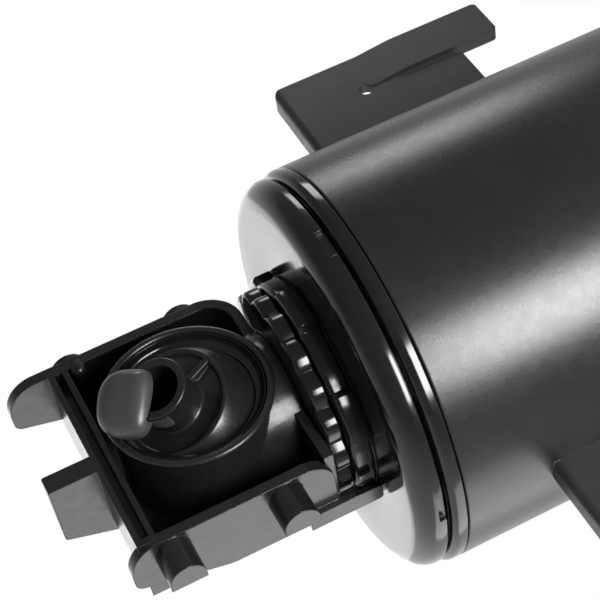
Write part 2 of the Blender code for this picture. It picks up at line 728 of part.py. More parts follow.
def union_nut():
    """A ring nut with six finger pads. Its skirt turns in the cap's socket over the flange."""
    rows = arc((-NUT_EDGE, NUT_TOP - NUT_EDGE), NUT_EDGE, 0, 90, 3)
    sections = [(nut_outline(NUT_RADIUS), FLANGE_BOTTOM)]
    sections += [(nut_outline(NUT_RADIUS + inset), height) for inset, height in rows]
    body = lofted(sections)
    bore = NUT_BORE - FIT / 2
    lip_bore = FLANGE_RADIUS + FIT - NUT_LIP_WIDTH
    well = rod(bore, FLANGE_BOTTOM - OVERCUT, FLANGE_TOP + FIT, MEDIUM_STEPS)
    mouth = rod(lip_bore, FLANGE_TOP - OVERCUT, NUT_TOP + OVERCUT, MEDIUM_STEPS)
    skirt_bottom = CAP_TOP - SOCKET_DEPTH + 2 * FIT
    skirt = ring(SKIRT_INNER, SKIRT_OUTER, skirt_bottom, FLANGE_BOTTOM + OVERCUT, LARGE_STEPS)
    return join(cut(body, well, mouth), skirt)


def lobed_outline(radius):
    """Rounded lobes side by side, as on a knurled knob."""
    points = []
    per_lobe = 5
    for i in range(GRIP_LOBES * per_lobe):
        angle = math.tau * i / (GRIP_LOBES * per_lobe)
        dip = 1.0 - abs(math.sin(GRIP_LOBES * angle / 2))
        reach = radius - GRIP_LOBE_DEPTH * dip
        points.append((reach * math.cos(angle), reach * math.sin(angle)))
    return points


def grip_ring():
    """The fluted ring round the neck, under the head."""
    top = GRIP_BOTTOM + GRIP_HEIGHT
    body = lofted((
        (lobed_outline(GRIP_RADIUS), GRIP_BOTTOM),
        (lobed_outline(GRIP_RADIUS), top - GRIP_EDGE),
        (lobed_outline(GRIP_RADIUS - GRIP_EDGE / 3), top - GRIP_EDGE / 3),
        (lobed_outline(GRIP_RADIUS - GRIP_EDGE), top),
    ))
    bore = rod(NECK_RADIUS + FIT, GRIP_BOTTOM - OVERCUT, top + OVERCUT, MEDIUM_STEPS)
    return cut(body, bore)


def neck_pipe():
    """The pipe that the nut clamps: a spigot in the cap, a flange, and a stem up into the head."""
    bottom = FLANGE_BOTTOM - NECK_SPIGOT_LENGTH
    groove_low = bottom + (NECK_SPIGOT_LENGTH - SEAL_WIDTH) / 3
    groove_high = groove_low + SEAL_WIDTH
    groove = SPIGOT_RADIUS - SEAL_DEPTH
    stem = NECK_BORE + NECK_TOP_WALL
    top = PLATE_BOTTOM + NECK_SOCKET_DEPTH - FIT
    profile = [
        (NECK_BORE, bottom), (SPIGOT_RADIUS, bottom), (SPIGOT_RADIUS, groove_low),
        (groove, groove_low), (groove, groove_high), (SPIGOT_RADIUS, groove_high),
        (SPIGOT_RADIUS, FLANGE_BOTTOM), (FLANGE_RADIUS, FLANGE_BOTTOM),
        (FLANGE_RADIUS, FLANGE_TOP), (NECK_RADIUS, FLANGE_TOP), (NECK_RADIUS, PLATE_BOTTOM - FIT),
        (stem, PLATE_BOTTOM - FIT), (stem, top), (NECK_BORE, top),
    ]
    return revolve(profile, MEDIUM_STEPS)


# ==== Outlet head ==============================================================================
def rail_nose(length):
    """Corners of a rail's far end in the YZ plane: slanted behind, and rounded in front."""
    return (
        (RAIL_BACK, length - NOSE_LENGTH, NOSE_BEND), (RAIL_BACK - NOSE_SLANT, length, NOSE_TIP),
        (-RAIL_FRONT, length, NOSE_FRONT),
    )


def short_rail():
    """The rail on the -X side: a flat cheek with round ends."""
    outline = rounded((
        (-RAIL_FRONT, RAIL_FOOT, RAIL_FOOT_FRONT), (RAIL_BACK, RAIL_FOOT, RAIL_FOOT_BACK),
        *rail_nose(SHORT_RAIL_LENGTH),
    ))
    return prism(outline, -RAIL_HALF_SPAN, RAIL_THICKNESS - RAIL_HALF_SPAN, "X")


def long_rail():
    """The rail on the +X side, which bends out of the end plate."""
    outer = RAIL_HALF_SPAN
    inner = RAIL_HALF_SPAN - RAIL_THICKNESS
    path = rounded((
        (0.0, 0.0, 0), (outer, 0.0, RAIL_BEND), (outer, LONG_RAIL_LENGTH + OVERCUT, 0),
        (inner, LONG_RAIL_LENGTH + OVERCUT, 0), (inner, END_PLATE, RAIL_BEND - RAIL_THICKNESS),
        (0.0, END_PLATE, 0),
    ))
    strip = prism(path, -RAIL_FRONT - OVERCUT, RAIL_BACK + OVERCUT, "Y")
    side = rounded((
        (-RAIL_FRONT, -OVERCUT, 0), (RAIL_BACK, -OVERCUT, 0), *rail_nose(LONG_RAIL_LENGTH),
    ))
    return common(strip, prism(side, -OVERCUT, outer + OVERCUT, "X"))


def rail_boss():
    """The small domed stud inside the long rail."""
    inner = RAIL_HALF_SPAN - RAIL_THICKNESS
    dome = arc((0.0, BOSS_REACH - BOSS_RADIUS), BOSS_RADIUS, 0, 90, 3)
    profile = [(0.0, -RAIL_THICKNESS / 2), (BOSS_RADIUS, -RAIL_THICKNESS / 2), *dome[:-1], (0.0, BOSS_REACH)]
    stud = moved(revolve(profile, SMALL_STEPS), Matrix.Rotation(math.radians(-90), 4, "Y"))
    height = CROSS_WALL_RISE - BOSS_RADIUS - FIT
    return moved(stud, Matrix.Translation((inner, BOSS_SET_BACK - RAIL_FRONT, height)))


def rail_pin(side, height, reach):
    """A half-round pin on a rail's outer face, flat towards the back."""
    half = PIN_WIDTH / 2
    front = PIN_SET_BACK - RAIL_FRONT
    back = front + PIN_DEPTH
    outline = arc((front + half, height), half, 270, 90, 8) + [(back, height + half), (back, height - half)]
    root = RAIL_HALF_SPAN - RAIL_THICKNESS / 2
    tip = RAIL_HALF_SPAN + reach
    return prism(outline, min(side * root, side * tip), max(side * root, side * tip), "X")


def cup_shell():
    """The outer form of the ball's cup, turned about the outlet's axis, which is local Z here."""
    lip_edge = (LIP_RADIUS - CUP_BORE) / 3
    back_round = CUP_RADIUS * 0.45
    rear = arc((CUP_RADIUS - back_round, back_round - CUP_BACK), back_round, -90, 0, 3)
    profile = [
        (0.0, -CUP_BACK), *rear, (CUP_RADIUS, LIP_FORWARD - LIP_HEIGHT),
        (LIP_RADIUS, LIP_FORWARD - LIP_HEIGHT + (LIP_RADIUS - CUP_RADIUS)),
        (LIP_RADIUS, LIP_FORWARD - lip_edge), (LIP_RADIUS - lip_edge, LIP_FORWARD),
        (0.0, LIP_FORWARD),
    ]
    return revolve(profile, BALL_STEPS)


def cup_hollow():
    """The room inside the cup: the bore for ring and ball, and the chamber behind them."""
    bevel = (LIP_RADIUS - CUP_BORE) / 3
    profile = [
        (0.0, CUP_BACK_WALL - CUP_BACK), (CHAMBER_RADIUS, CUP_BACK_WALL - CUP_BACK),
        (CHAMBER_RADIUS, -SEAT_DEPTH), (CUP_BORE, -SEAT_DEPTH), (CUP_BORE, LIP_FORWARD - bevel),
        (CUP_BORE + bevel + OVERCUT, LIP_FORWARD + OVERCUT), (0.0, LIP_FORWARD + OVERCUT),
    ]
    return revolve(profile, BALL_STEPS)


def facing_forward(obj):
    """Lays a solid turned about Z along the outlet's axis, at the ball's centre."""
    place = Matrix.Translation((0.0, -BALL_SET_FORWARD, CUP_RISE))
    return moved(obj, place @ Matrix.Rotation(math.radians(90), 4, "X"))


def head_plates():
    """The end plate, back plate, grooved cross wall and fin that tie the rails to the cup."""
    inside = RAIL_HALF_SPAN - RAIL_THICKNESS / 2
    front = -RAIL_FRONT
    end = box((-inside, RAIL_BEND), (front, RAIL_BACK), (0.0, END_PLATE))
    back = box((-inside, inside), (RAIL_BACK - BACK_PLATE, RAIL_BACK), (END_PLATE / 2, BACK_PLATE_TOP))
    top = CROSS_WALL_RISE + CROSS_WALL
    wall = box((-inside, inside), (front, RAIL_BACK), (CROSS_WALL_RISE, top))
    middle = CROSS_WALL_RISE + CROSS_WALL / 2
    reach = RAIL_HALF_SPAN - RAIL_THICKNESS - FIT
    groove = box((-reach, reach), (front - OVERCUT, front + CROSS_GROOVE_DEPTH),
                 (middle - CROSS_GROOVE / 2, middle + CROSS_GROOVE / 2))
    fin_outline = (
        (front, top - OVERCUT), (RAIL_BACK - BACK_PLATE / 2, top - OVERCUT),
        (RAIL_BACK - BACK_PLATE / 2, CUP_RISE + CHAMBER_RADIUS), (FIN_BACK - BACK_PLATE, CUP_RISE + CHAMBER_RADIUS),
        (FIN_BACK, FIN_TOP - FIN_SLOPE), (FIN_PEAK, FIN_TOP), (front, FIN_TOP),
    )
    fin = prism(fin_outline, -FIN_LEFT, FIN_THICKNESS - FIN_LEFT, "X")
    return join(cut(join(end, back, wall), groove), fin)


def rail_tongue():
    """The finger at the short rail's lower back corner that points down past the nut."""
    back = RAIL_BACK - FIT
    front = back - TONGUE_WIDTH
    tip = CAP_TOP + TONGUE_GAP - PLATE_BOTTOM
    root = NUT_TOP + 2 * FIT - PLATE_BOTTOM
    top = 2 * TONGUE_WIDTH
    inner = -TONGUE_INNER
    outer = inner - TONGUE_THICKNESS
    finger = rounded((
        (front, tip, TONGUE_CORNER), (back, tip, TONGUE_CORNER), (back, top, 0), (front, top, 0),
    ), 3)
    heel = ((front, root), (back, root), (back, top), (front, top))
    behind_rail = RAIL_THICKNESS / 2 - RAIL_HALF_SPAN
    return join(prism(finger, outer, inner, "X"), prism(heel, outer + FIT, behind_rail, "X"))


def outlet_head():
    """The moulded head: rails, plates, pins and neck round the cup, hollowed in one go."""
    duct = rod(NECK_RADIUS, 0.0, CUP_RISE, MEDIUM_STEPS)
    pins = [rail_pin(-1, height, PIN_REACH) for height in PIN_HEIGHTS]
    pins += [rail_pin(1, height, PAD_REACH) for height in PAD_HEIGHTS]
    body = join(head_plates(), short_rail(), long_rail(), duct, facing_forward(cup_shell()), *pins)
    body = join(body, rail_tongue(), rail_boss())
    socket = rod(NECK_BORE + NECK_TOP_WALL + FIT, -OVERCUT, NECK_SOCKET_DEPTH, MEDIUM_STEPS)
    seat_back = SEAT_DEPTH - BALL_SET_FORWARD
    half = PASSAGE_WIDTH / 2
    passage = box((-half, half), (seat_back + 2 * FIT, NECK_BORE - 4 * FIT),
                  (NECK_SOCKET_DEPTH - OVERCUT, CUP_RISE - CHAMBER_RADIUS / 2))
    return cut(body, facing_forward(cup_hollow()), socket, passage)


# ==== Ball nozzle, with the outlet's axis as local Z ===========================================
def ball_sphere(radius, low, high, steps):
    """Points on a sphere's profile from one height to another."""
    start = math.degrees(math.asin(low / radius))
    end = math.degrees(math.asin(high / radius))
    return arc((0.0, 0.0), radius, start, end, steps)


def ball_ring():
    """The ring that keeps the ball in its cup. A hollow leads from the ball out to the lip."""
    outer = CUP_BORE - FIT
    top = LIP_FORWARD - RING_SET_BACK
    inside = ball_sphere(BALL_RADIUS + FIT, 0.0, RING_MOUTH, 4)
    hollow = arc((inside[-1][0] + RING_LAND, top), top - RING_MOUTH, -90, 0, 4)
    return revolve([*inside, *hollow, (outer, top), (outer, 0.0)], BALL_STEPS)


def ball_seat():
    """The soft seat behind the ball, against the cup's shoulder."""
    outer = CUP_BORE - FIT
    back = FIT - SEAT_DEPTH
    inside = ball_sphere(BALL_RADIUS + FIT, back, -BALL_RADIUS * 0.4, 3)
    return revolve([*inside, (outer, -BALL_RADIUS * 0.4), (outer, back)], MEDIUM_STEPS)


def nozzle_ball():
    """A ball cut flat in front, with the jet's tube standing on the recessed face."""
    rim = math.sqrt(BALL_RADIUS**2 - FACE_OFFSET**2)
    back = -math.sqrt(BALL_RADIUS**2 - BACK_BORE**2)
    skin = ball_sphere(BALL_RADIUS, back, FACE_OFFSET, 10)
    bottom = FACE_OFFSET - FACE_RECESS
    profile = [
        (JET_BORE, JET_REACH), (JET_BORE, -JET_BORE), (BACK_BORE - FACE_RIM, back), *skin,
        (rim - FACE_RIM, FACE_OFFSET), (rim - FACE_RIM - FACE_RECESS / 2, bottom),
        (JET_RADIUS, bottom), (JET_RADIUS, JET_REACH - JET_RIM_HEIGHT),
        (JET_RIM_RADIUS, JET_REACH - JET_RIM_HEIGHT), (JET_RIM_RADIUS, JET_REACH),
    ]
    body = revolve(profile, BALL_STEPS)
    root = (JET_RADIUS + JET_BORE) / 2
    rib = prism((
        (-root, bottom - FACE_RIM), (-root, bottom + JET_RIB_HEIGHT),
        (FACE_RIM - rim, FACE_OFFSET), (FACE_RIM - rim, bottom - FACE_RIM),
    ), -JET_RIB / 2, JET_RIB / 2, "X")
    return join(body, spun(rib, NOZZLE_TURN / 2))


def nozzle_hood():
    """A thumb-shaped hood over half of the jet, on a clip that turns under the jet's rim."""
    shape = [(0.0, HOOD_START), (HOOD_START_RADIUS - HOOD_START_EDGE, HOOD_START)]
    shape += [(HOOD_START_RADIUS, HOOD_START + HOOD_START_EDGE)]
    shape += arc((0.0, HOOD_THROW), HOOD_RADIUS, 0, 90, 7)[:-1] + [(0.0, HOOD_THROW + HOOD_RADIUS)]
    thumb = revolve(shape, BALL_STEPS)
    lay = Matrix.Translation((0.0, 0.0, HOOD_CENTRE)) @ Matrix.Rotation(math.radians(-90), 4, "X")
    thumb = moved(thumb, lay)
    size = HOOD_THROW + HOOD_RADIUS + OVERCUT
    below = box((-size, size), (-size, size), (0.0, HOOD_UNDERSIDE))
    clip_bore = JET_RADIUS + FIT
    clip_high = JET_REACH - JET_RIM_HEIGHT - FIT
    clip_low = clip_high - CLIP_LENGTH
    clip = ring(clip_bore, clip_bore + CLIP_WALL, clip_low, clip_high, BALL_STEPS)
    room = rod(JET_RIM_RADIUS + FIT, clip_high, JET_REACH + FIT, BALL_STEPS)
    return join(cut(thumb, below, room, rod(clip_bore, clip_low, JET_REACH, BALL_STEPS)), clip)


# ==== Pump =====================================================================================
def pump_casing():
    """A cup inside the cap's plug: eye and bearing spider in its floor, sleeve for the core."""
    inner = CASING_RADIUS - CASING_WALL
    sleeve_bore = CORE_RADIUS + FIT
    sleeve = sleeve_bore + CORE_SLEEVE_WALL
    profile = (
        (EYE_RADIUS, 0.0), (sleeve_bore, 0.0), (sleeve_bore, -CORE_SLEEVE_LENGTH),
        (sleeve, -CORE_SLEEVE_LENGTH), (sleeve, 0.0), (CASING_RADIUS, 0.0),
        (CASING_RADIUS, CASING_LENGTH), (inner, CASING_LENGTH), (inner, CASING_WALL),
        (EYE_RADIUS, CASING_WALL),
    )
    shell = revolve(profile, MEDIUM_STEPS)
    half = SPIDER_ARM_WIDTH / 2
    arms = []
    for i in range(SPIDER_ARMS):
        arm = box((HUB_RADIUS - OVERCUT, EYE_RADIUS + OVERCUT), (-half, half), (FIT, CASING_WALL - FIT))
        arms.append(spun(arm, 360.0 * i / SPIDER_ARMS))
    hub = rod(HUB_RADIUS, -HUB_DEPTH, CASING_WALL + HUB_RISE, SMALL_STEPS)
    well = rod(BUSH_RADIUS + FIT, HUB_FLOOR - HUB_DEPTH, CASING_WALL + HUB_RISE + OVERCUT, SMALL_STEPS)
    return cut(join(shell, hub, *arms), well)


def motor_housing():
    """The pod round the stator, closed on top, with ribs that centre it in the casing."""
    top = CHAMBER_TOP + POD_LENGTH
    inner = POD_RADIUS - POD_WALL
    nose = arc((POD_RADIUS - POD_NOSE, top - POD_NOSE), POD_NOSE, 0, 90, 4)
    profile = [
        (inner, CHAMBER_TOP), (POD_RADIUS, CHAMBER_TOP), *nose, (0.0, top),
        (0.0, top - POD_WALL), (inner - POD_NOSE, top - POD_WALL), (inner, top - POD_WALL - POD_NOSE),
    ]
    pod = revolve_cup(profile, MEDIUM_STEPS)
    ribs = []
    reach = CASING_RADIUS - CASING_WALL - FIT
    half = POD_RIB_THICKNESS / 2
    for i in range(POD_RIBS):
        rib = box((POD_RADIUS - POD_WALL / 2, reach), (-half, half),
                  (CHAMBER_TOP, CHAMBER_TOP + POD_LENGTH / 2))
        ribs.append(spun(rib, 90.0 + 360.0 * i / POD_RIBS))
    return join(pod, *ribs)


def revolve_cup(profile, steps):
    """Turns a profile that meets the axis in its middle, by starting the loop there."""
    first = [i for i, point in enumerate(profile) if point[0] == 0.0][0]
    return revolve(profile[first + 1:] + profile[:first + 1], steps)


def rotor_can():
    """The thin well that keeps the water off the stator, with the pod's closing flange."""
    low = CHAMBER_TOP
    top = low + CAN_LENGTH
    outer = CAN_BORE + CAN_WALL
    flange = POD_RADIUS - POD_WALL - FIT
    profile = [
        (0.0, top - CAN_WALL), (CAN_BORE, top - CAN_WALL), (CAN_BORE, low), (flange, low),
        (flange, low + CAN_FLANGE), (outer, low + CAN_FLANGE), (outer, top), (0.0, top),
    ]
    return revolve(profile, SMALL_STEPS)


def stator_core():
    """The laminated ring with two poles that reach in to the can."""
    low = CHAMBER_TOP + STATOR_RISE
    high = low + STATOR_HEIGHT
    outer = POD_RADIUS - POD_WALL - FIT
    inner = outer - STATOR_RING
    pole_face = CAN_BORE + CAN_WALL + FIT
    half = POLE_WIDTH / 2
    body = ring(inner, outer, low, high, SMALL_STEPS)
    reach = outer - STATOR_RING / 2
    poles = box((-reach, reach), (-half, half), (low, high))
    bore = rod(pole_face, low - OVERCUT, high + OVERCUT, SMALL_STEPS)
    return join(body, cut(poles, bore))


def coil(side):
    """A winding round one pole."""
    low = CHAMBER_TOP + STATOR_RISE
    high = low + STATOR_HEIGHT
    hole = POLE_WIDTH / 2 + FIT
    body = box((COIL_INNER, COIL_OUTER), (-hole - COIL_WALL, hole + COIL_WALL),
               (low - COIL_RISE, high + COIL_RISE))
    window = box((COIL_INNER - OVERCUT, COIL_OUTER + OVERCUT), (-hole, hole), (low - FIT, high + FIT))
    return spun(cut(body, window), 0.0 if side > 0 else 180.0)


def impeller():
    """The impeller: a plate with swept blades on a hub that reaches up to the magnet."""
    plate_top = CHAMBER_TOP - RUNNING_GAP
    plate_low = plate_top - IMPELLER_PLATE
    hub_low = CASING_WALL + HUB_RISE + FIT
    plate = rod(IMPELLER_RADIUS, plate_low, plate_top, MEDIUM_STEPS)
    hub = rod(IMPELLER_HUB, hub_low, magnet_low() - FIT, SMALL_STEPS)
    blades = [spun(blade(plate_low), 360.0 * i / BLADE_COUNT) for i in range(BLADE_COUNT)]
    bore = rod(SHAFT_RADIUS + FIT, hub_low - OVERCUT, magnet_low() + OVERCUT, SMALL_STEPS)
    return cut(join(plate, hub, *blades), bore)


def blade(top):
    """One blade, which runs back along an arc from the hub to the plate's edge."""
    steps = 5
    outer_side = []
    inner_side = []
    for i in range(steps + 1):
        share = i / steps
        radius = IMPELLER_HUB * 0.8 + (IMPELLER_RADIUS - FIT - IMPELLER_HUB * 0.8) * share
        angle = math.radians(BLADE_SWEEP * share)
        half = math.asin(BLADE_THICKNESS / 2 / radius)
        outer_side.append((radius * math.cos(angle + half), radius * math.sin(angle + half)))
        inner_side.append((radius * math.cos(angle - half), radius * math.sin(angle - half)))
    return prism(inner_side + outer_side[::-1], top - BLADE_HEIGHT, top + IMPELLER_PLATE / 2)


def magnet_low():
    return CHAMBER_TOP + CAN_FLANGE + MAGNET_RISE


def rotor_magnet():
    low = magnet_low()
    return ring(SHAFT_RADIUS + FIT, MAGNET_RADIUS, low, low + MAGNET_LENGTH, SMALL_STEPS)


def top_bush_low():
    return CHAMBER_TOP + CAN_LENGTH - CAN_WALL - FIT - TOP_BUSH_HEIGHT


def shaft_bush_top():
    low = top_bush_low()
    return ring(SHAFT_RADIUS + FIT, CAN_BORE - FIT, low, low + TOP_BUSH_HEIGHT, SMALL_STEPS)


def shaft_bush_bottom():
    low = HUB_FLOOR - HUB_DEPTH + FIT
    return ring(SHAFT_RADIUS + FIT, BUSH_RADIUS, low, CASING_WALL + HUB_RISE, SMALL_STEPS)


def impeller_shaft():
    return rod(SHAFT_RADIUS, HUB_FLOOR - HUB_DEPTH + FIT, top_bush_low() + TOP_BUSH_HEIGHT - FIT, SMALL_STEPS)


# ==== The assembly =============================================================================
def make_materials():
    return {
        "black": plastic("satin_black_plastic", (0.022, 0.022, 0.023), 0.38),
        "gloss": plastic("glossy_black_plastic", (0.012, 0.012, 0.013), 0.12),
        "matte": plastic("matte_black_plastic", (0.030, 0.030, 0.031), 0.50),
        "grey": plastic("dark_grey_rubber", (0.075, 0.080, 0.082), 0.55),
        "rubber": plastic("black_rubber", (0.020, 0.020, 0.020), 0.70),
        "foam": plastic("blue_foam", (0.030, 0.090, 0.210), 0.95),
        "steel": plastic("stator_steel", (0.450, 0.450, 0.460), 0.35, 1.0),
        "copper": plastic("copper_winding", (0.620, 0.270, 0.120), 0.35, 1.0),
        "ferrite": plastic("ferrite_magnet", (0.060, 0.060, 0.065), 0.45, 0.3),
        "ceramic": plastic("white_ceramic", (0.750, 0.740, 0.700), 0.25),
    }


def make_canister(paint):
    frame = axis_frame("canister_frame")
    piece("base_strainer", base_strainer(), paint["black"], frame)
    piece("canister_body", canister_body(), paint["black"], frame)
    piece("canister_collar", canister_collar(), paint["gloss"], frame)
    piece("foam_cartridge", foam_cartridge(), paint["foam"], frame)
    piece("core_tube", core_tube(), paint["black"], frame)
    for number, (x, y) in enumerate(foot_places(), 1):
        foot = piece(f"rubber_foot_{number}", rubber_foot(), paint["rubber"], frame)
        foot.location = (x, y, 0.0)


def make_pump_head(paint):
    head = axis_frame("pump_head_frame", (0.0, 0.0, COLLAR_TOP))
    piece("end_cap", end_cap(), paint["gloss"], head)
    seal_low = PLUG_BOTTOM + CAP_SEAL_RISE
    seal = o_ring(PLUG_RADIUS - SEAL_DEPTH, COLLAR_BORE, seal_low, LARGE_STEPS)
    piece("cap_seal", seal, paint["rubber"], head)
    piece("cable_gland", cable_gland(), paint["matte"], head)
    piece("union_nut", union_nut(), paint["gloss"], axis_frame("union_nut_axis", parent=head))
    pump = axis_frame("pump_frame", (0.0, 0.0, CASING_BOTTOM), parent=head)
    piece("pump_casing", pump_casing(), paint["black"], pump)
    piece("motor_housing", motor_housing(), paint["black"], pump)
    piece("rotor_can", rotor_can(), paint["matte"], pump)
    piece("stator_core", stator_core(), paint["steel"], pump)
    piece("coil_right", coil(1), paint["copper"], pump)
    piece("coil_left", coil(-1), paint["copper"], pump)
    piece("impeller_shaft", impeller_shaft(), paint["ceramic"], pump)
    piece("shaft_bush_top", shaft_bush_top(), paint["ceramic"], pump)
    piece("shaft_bush_bottom", shaft_bush_bottom(), paint["ceramic"], pump)
    rotor = axis_frame("impeller_axis", parent=pump)
    piece("impeller", impeller(), paint["matte"], rotor)
    piece("rotor_magnet", rotor_magnet(), paint["ferrite"], rotor)
    return head


def make_outlet(paint, head):
    swivel = axis_frame("outlet_swivel_axis", parent=head)
    piece("neck_pipe", neck_pipe(), paint["gloss"], swivel)
    spigot_low = FLANGE_BOTTOM - NECK_SPIGOT_LENGTH
    seal_low = spigot_low + (NECK_SPIGOT_LENGTH - SEAL_WIDTH) / 3
    seal = o_ring(SPIGOT_RADIUS - SEAL_DEPTH, CAP_BORE, seal_low, MEDIUM_STEPS)
    piece("neck_seal", seal, paint["rubber"], swivel)
    piece("grip_ring", grip_ring(), paint["gloss"], swivel)
    plate = axis_frame("outlet_head_frame", (0.0, 0.0, PLATE_BOTTOM), parent=swivel)
    piece("outlet_head", outlet_head(), paint["matte"], plate)
    cup = axis_frame("cup_axis", (0.0, -BALL_SET_FORWARD, CUP_RISE), (90.0, 0.0, 0.0), plate)
    piece("ball_seat", ball_seat(), paint["rubber"], cup)
    turn = axis_frame("ball_ring_axis", rotation=(0.0, 0.0, NOZZLE_TURN), parent=cup)
    piece("ball_ring", ball_ring(), paint["gloss"], turn)
    tilt = axis_frame("nozzle_tilt_axis", rotation=(-NOZZLE_TILT, 0.0, 0.0), parent=turn)
    piece("nozzle_ball", nozzle_ball(), paint["black"], tilt)
    hood = axis_frame("nozzle_hood_axis", rotation=(0.0, 0.0, HOOD_TURN), parent=tilt)
    piece("nozzle_hood", nozzle_hood(), paint["grey"], hood)


def main():
    clear_scene()
    paint = make_materials()
    make_canister(paint)
    head = make_pump_head(paint)
    make_outlet(paint, head)
    bpy.context.view_layer.update()


main()
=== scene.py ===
"""Looks of an internal aquarium power filter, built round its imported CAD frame."""
import json
import math

import bmesh
import bpy
from mathutils import Matrix, Vector, noise as field


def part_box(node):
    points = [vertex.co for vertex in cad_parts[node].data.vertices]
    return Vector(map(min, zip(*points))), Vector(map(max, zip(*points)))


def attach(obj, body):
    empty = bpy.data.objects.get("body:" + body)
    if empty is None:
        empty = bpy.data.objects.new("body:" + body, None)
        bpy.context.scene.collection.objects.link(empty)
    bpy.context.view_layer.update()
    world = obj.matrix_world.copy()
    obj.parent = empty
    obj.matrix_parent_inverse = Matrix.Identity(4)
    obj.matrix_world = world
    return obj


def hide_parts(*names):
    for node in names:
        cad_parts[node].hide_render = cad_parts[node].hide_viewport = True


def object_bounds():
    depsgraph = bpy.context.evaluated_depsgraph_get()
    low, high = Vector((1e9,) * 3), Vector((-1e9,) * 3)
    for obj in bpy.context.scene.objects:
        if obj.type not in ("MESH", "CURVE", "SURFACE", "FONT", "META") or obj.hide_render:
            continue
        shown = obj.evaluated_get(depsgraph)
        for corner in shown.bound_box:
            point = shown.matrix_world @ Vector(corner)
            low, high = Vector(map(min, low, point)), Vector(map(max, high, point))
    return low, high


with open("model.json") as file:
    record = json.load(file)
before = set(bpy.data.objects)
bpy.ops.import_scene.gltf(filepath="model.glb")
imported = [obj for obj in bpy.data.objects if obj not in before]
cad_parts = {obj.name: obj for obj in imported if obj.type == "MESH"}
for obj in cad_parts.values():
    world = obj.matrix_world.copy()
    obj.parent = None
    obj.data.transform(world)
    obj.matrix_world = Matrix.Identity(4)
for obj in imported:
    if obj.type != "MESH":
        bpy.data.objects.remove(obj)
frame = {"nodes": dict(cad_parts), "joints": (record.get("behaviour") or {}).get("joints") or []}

cad_low, cad_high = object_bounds()


# ==== Materials ================================================================================
def new_material(name):
    """A node material, its tree and its main shader."""
    material = bpy.data.materials.new(name)
    material.use_nodes = True
    tree = material.node_tree
    return material, tree, tree.nodes["Principled BSDF"]


def noise(tree, scale, detail=3.0, stretch=None):
    """A noise value on the object's own coordinates, in metres."""
    place = tree.nodes.new("ShaderNodeTexCoord").outputs["Object"]
    if stretch is not None:
        mapping = tree.nodes.new("ShaderNodeMapping")
        mapping.inputs["Scale"].default_value = stretch
        tree.links.new(place, mapping.inputs["Vector"])
        place = mapping.outputs["Vector"]
    texture = tree.nodes.new("ShaderNodeTexNoise")
    texture.inputs["Scale"].default_value = scale
    texture.inputs["Detail"].default_value = detail
    tree.links.new(place, texture.inputs["Vector"])
    return texture.outputs["Fac"]


def spread(tree, value, low, high, from_low=0.3, from_high=0.7):
    """Maps a value that runs from from_low to from_high onto low to high."""
    node = tree.nodes.new("ShaderNodeMapRange")
    node.inputs["From Min"].default_value = from_low
    node.inputs["From Max"].default_value = from_high
    node.inputs["To Min"].default_value = low
    node.inputs["To Max"].default_value = high
    tree.links.new(value, node.inputs["Value"])
    return node.outputs["Result"]


def tint(tree, value, dark, light):
    """A colour between dark and light, by a value."""
    ramp = tree.nodes.new("ShaderNodeValToRGB")
    ramp.color_ramp.elements[0].position = 0.3
    ramp.color_ramp.elements[1].position = 0.7
    ramp.color_ramp.elements[0].color = (*dark, 1.0)
    ramp.color_ramp.elements[1].color = (*light, 1.0)
    tree.links.new(value, ramp.inputs["Fac"])
    return ramp.outputs["Color"]


def eased_edges(tree, radius):
    """Rounds sharp edges in the shading, as a moulding's edges are."""
    node = tree.nodes.new("ShaderNodeBevel")
    node.samples = 6
    node.inputs["Radius"].default_value = radius
    return node.outputs["Normal"]


def bump(tree, value, strength, distance, below):
    """Adds relief, up to a distance in metres, to the normal from below."""
    node = tree.nodes.new("ShaderNodeBump")
    node.inputs["Strength"].default_value = strength
    node.inputs["Distance"].default_value = distance
    tree.links.new(value, node.inputs["Height"])
    tree.links.new(below, node.inputs["Normal"])
    return node.outputs["Normal"]


def moulded(name, dark, light, roughness, grain, grain_scale=2600.0, waviness=0.0, edge=0.00025):
    """A moulded plastic: patchy colour and gloss, eased edges, a fine grain and faint sink marks."""
    material, tree, shader = new_material(name)
    tree.links.new(tint(tree, noise(tree, 90.0, 4.0), dark, light), shader.inputs["Base Color"])
    smears = spread(tree, noise(tree, 340.0), *roughness)
    tree.links.new(smears, shader.inputs["Roughness"])
    normal = eased_edges(tree, edge)
    if waviness > 0.0:
        normal = bump(tree, noise(tree, 45.0, 1.0), waviness, 0.0010, normal)
    normal = bump(tree, noise(tree, grain_scale, 2.0), grain, 0.0001, normal)
    tree.links.new(normal, shader.inputs["Normal"])
    shader.inputs["IOR"].default_value = 1.52
    return material


def grey(level, warmth=0.0):
    """A grey, or a warmer one with more red and less blue."""
    return (level * (1.0 + warmth), level, level * (1.0 - warmth))


def metal(name, dark, light, roughness, stretch):
    """A worked metal with fine marks that run one way."""
    material, tree, shader = new_material(name)
    marks = noise(tree, 900.0, 4.0, stretch)
    tree.links.new(tint(tree, marks, dark, light), shader.inputs["Base Color"])
    tree.links.new(spread(tree, marks, *roughness), shader.inputs["Roughness"])
    tree.links.new(bump(tree, marks, 0.3, 0.0001, eased_edges(tree, 0.0002)), shader.inputs["Normal"])
    shader.inputs["Metallic"].default_value = 1.0
    return material


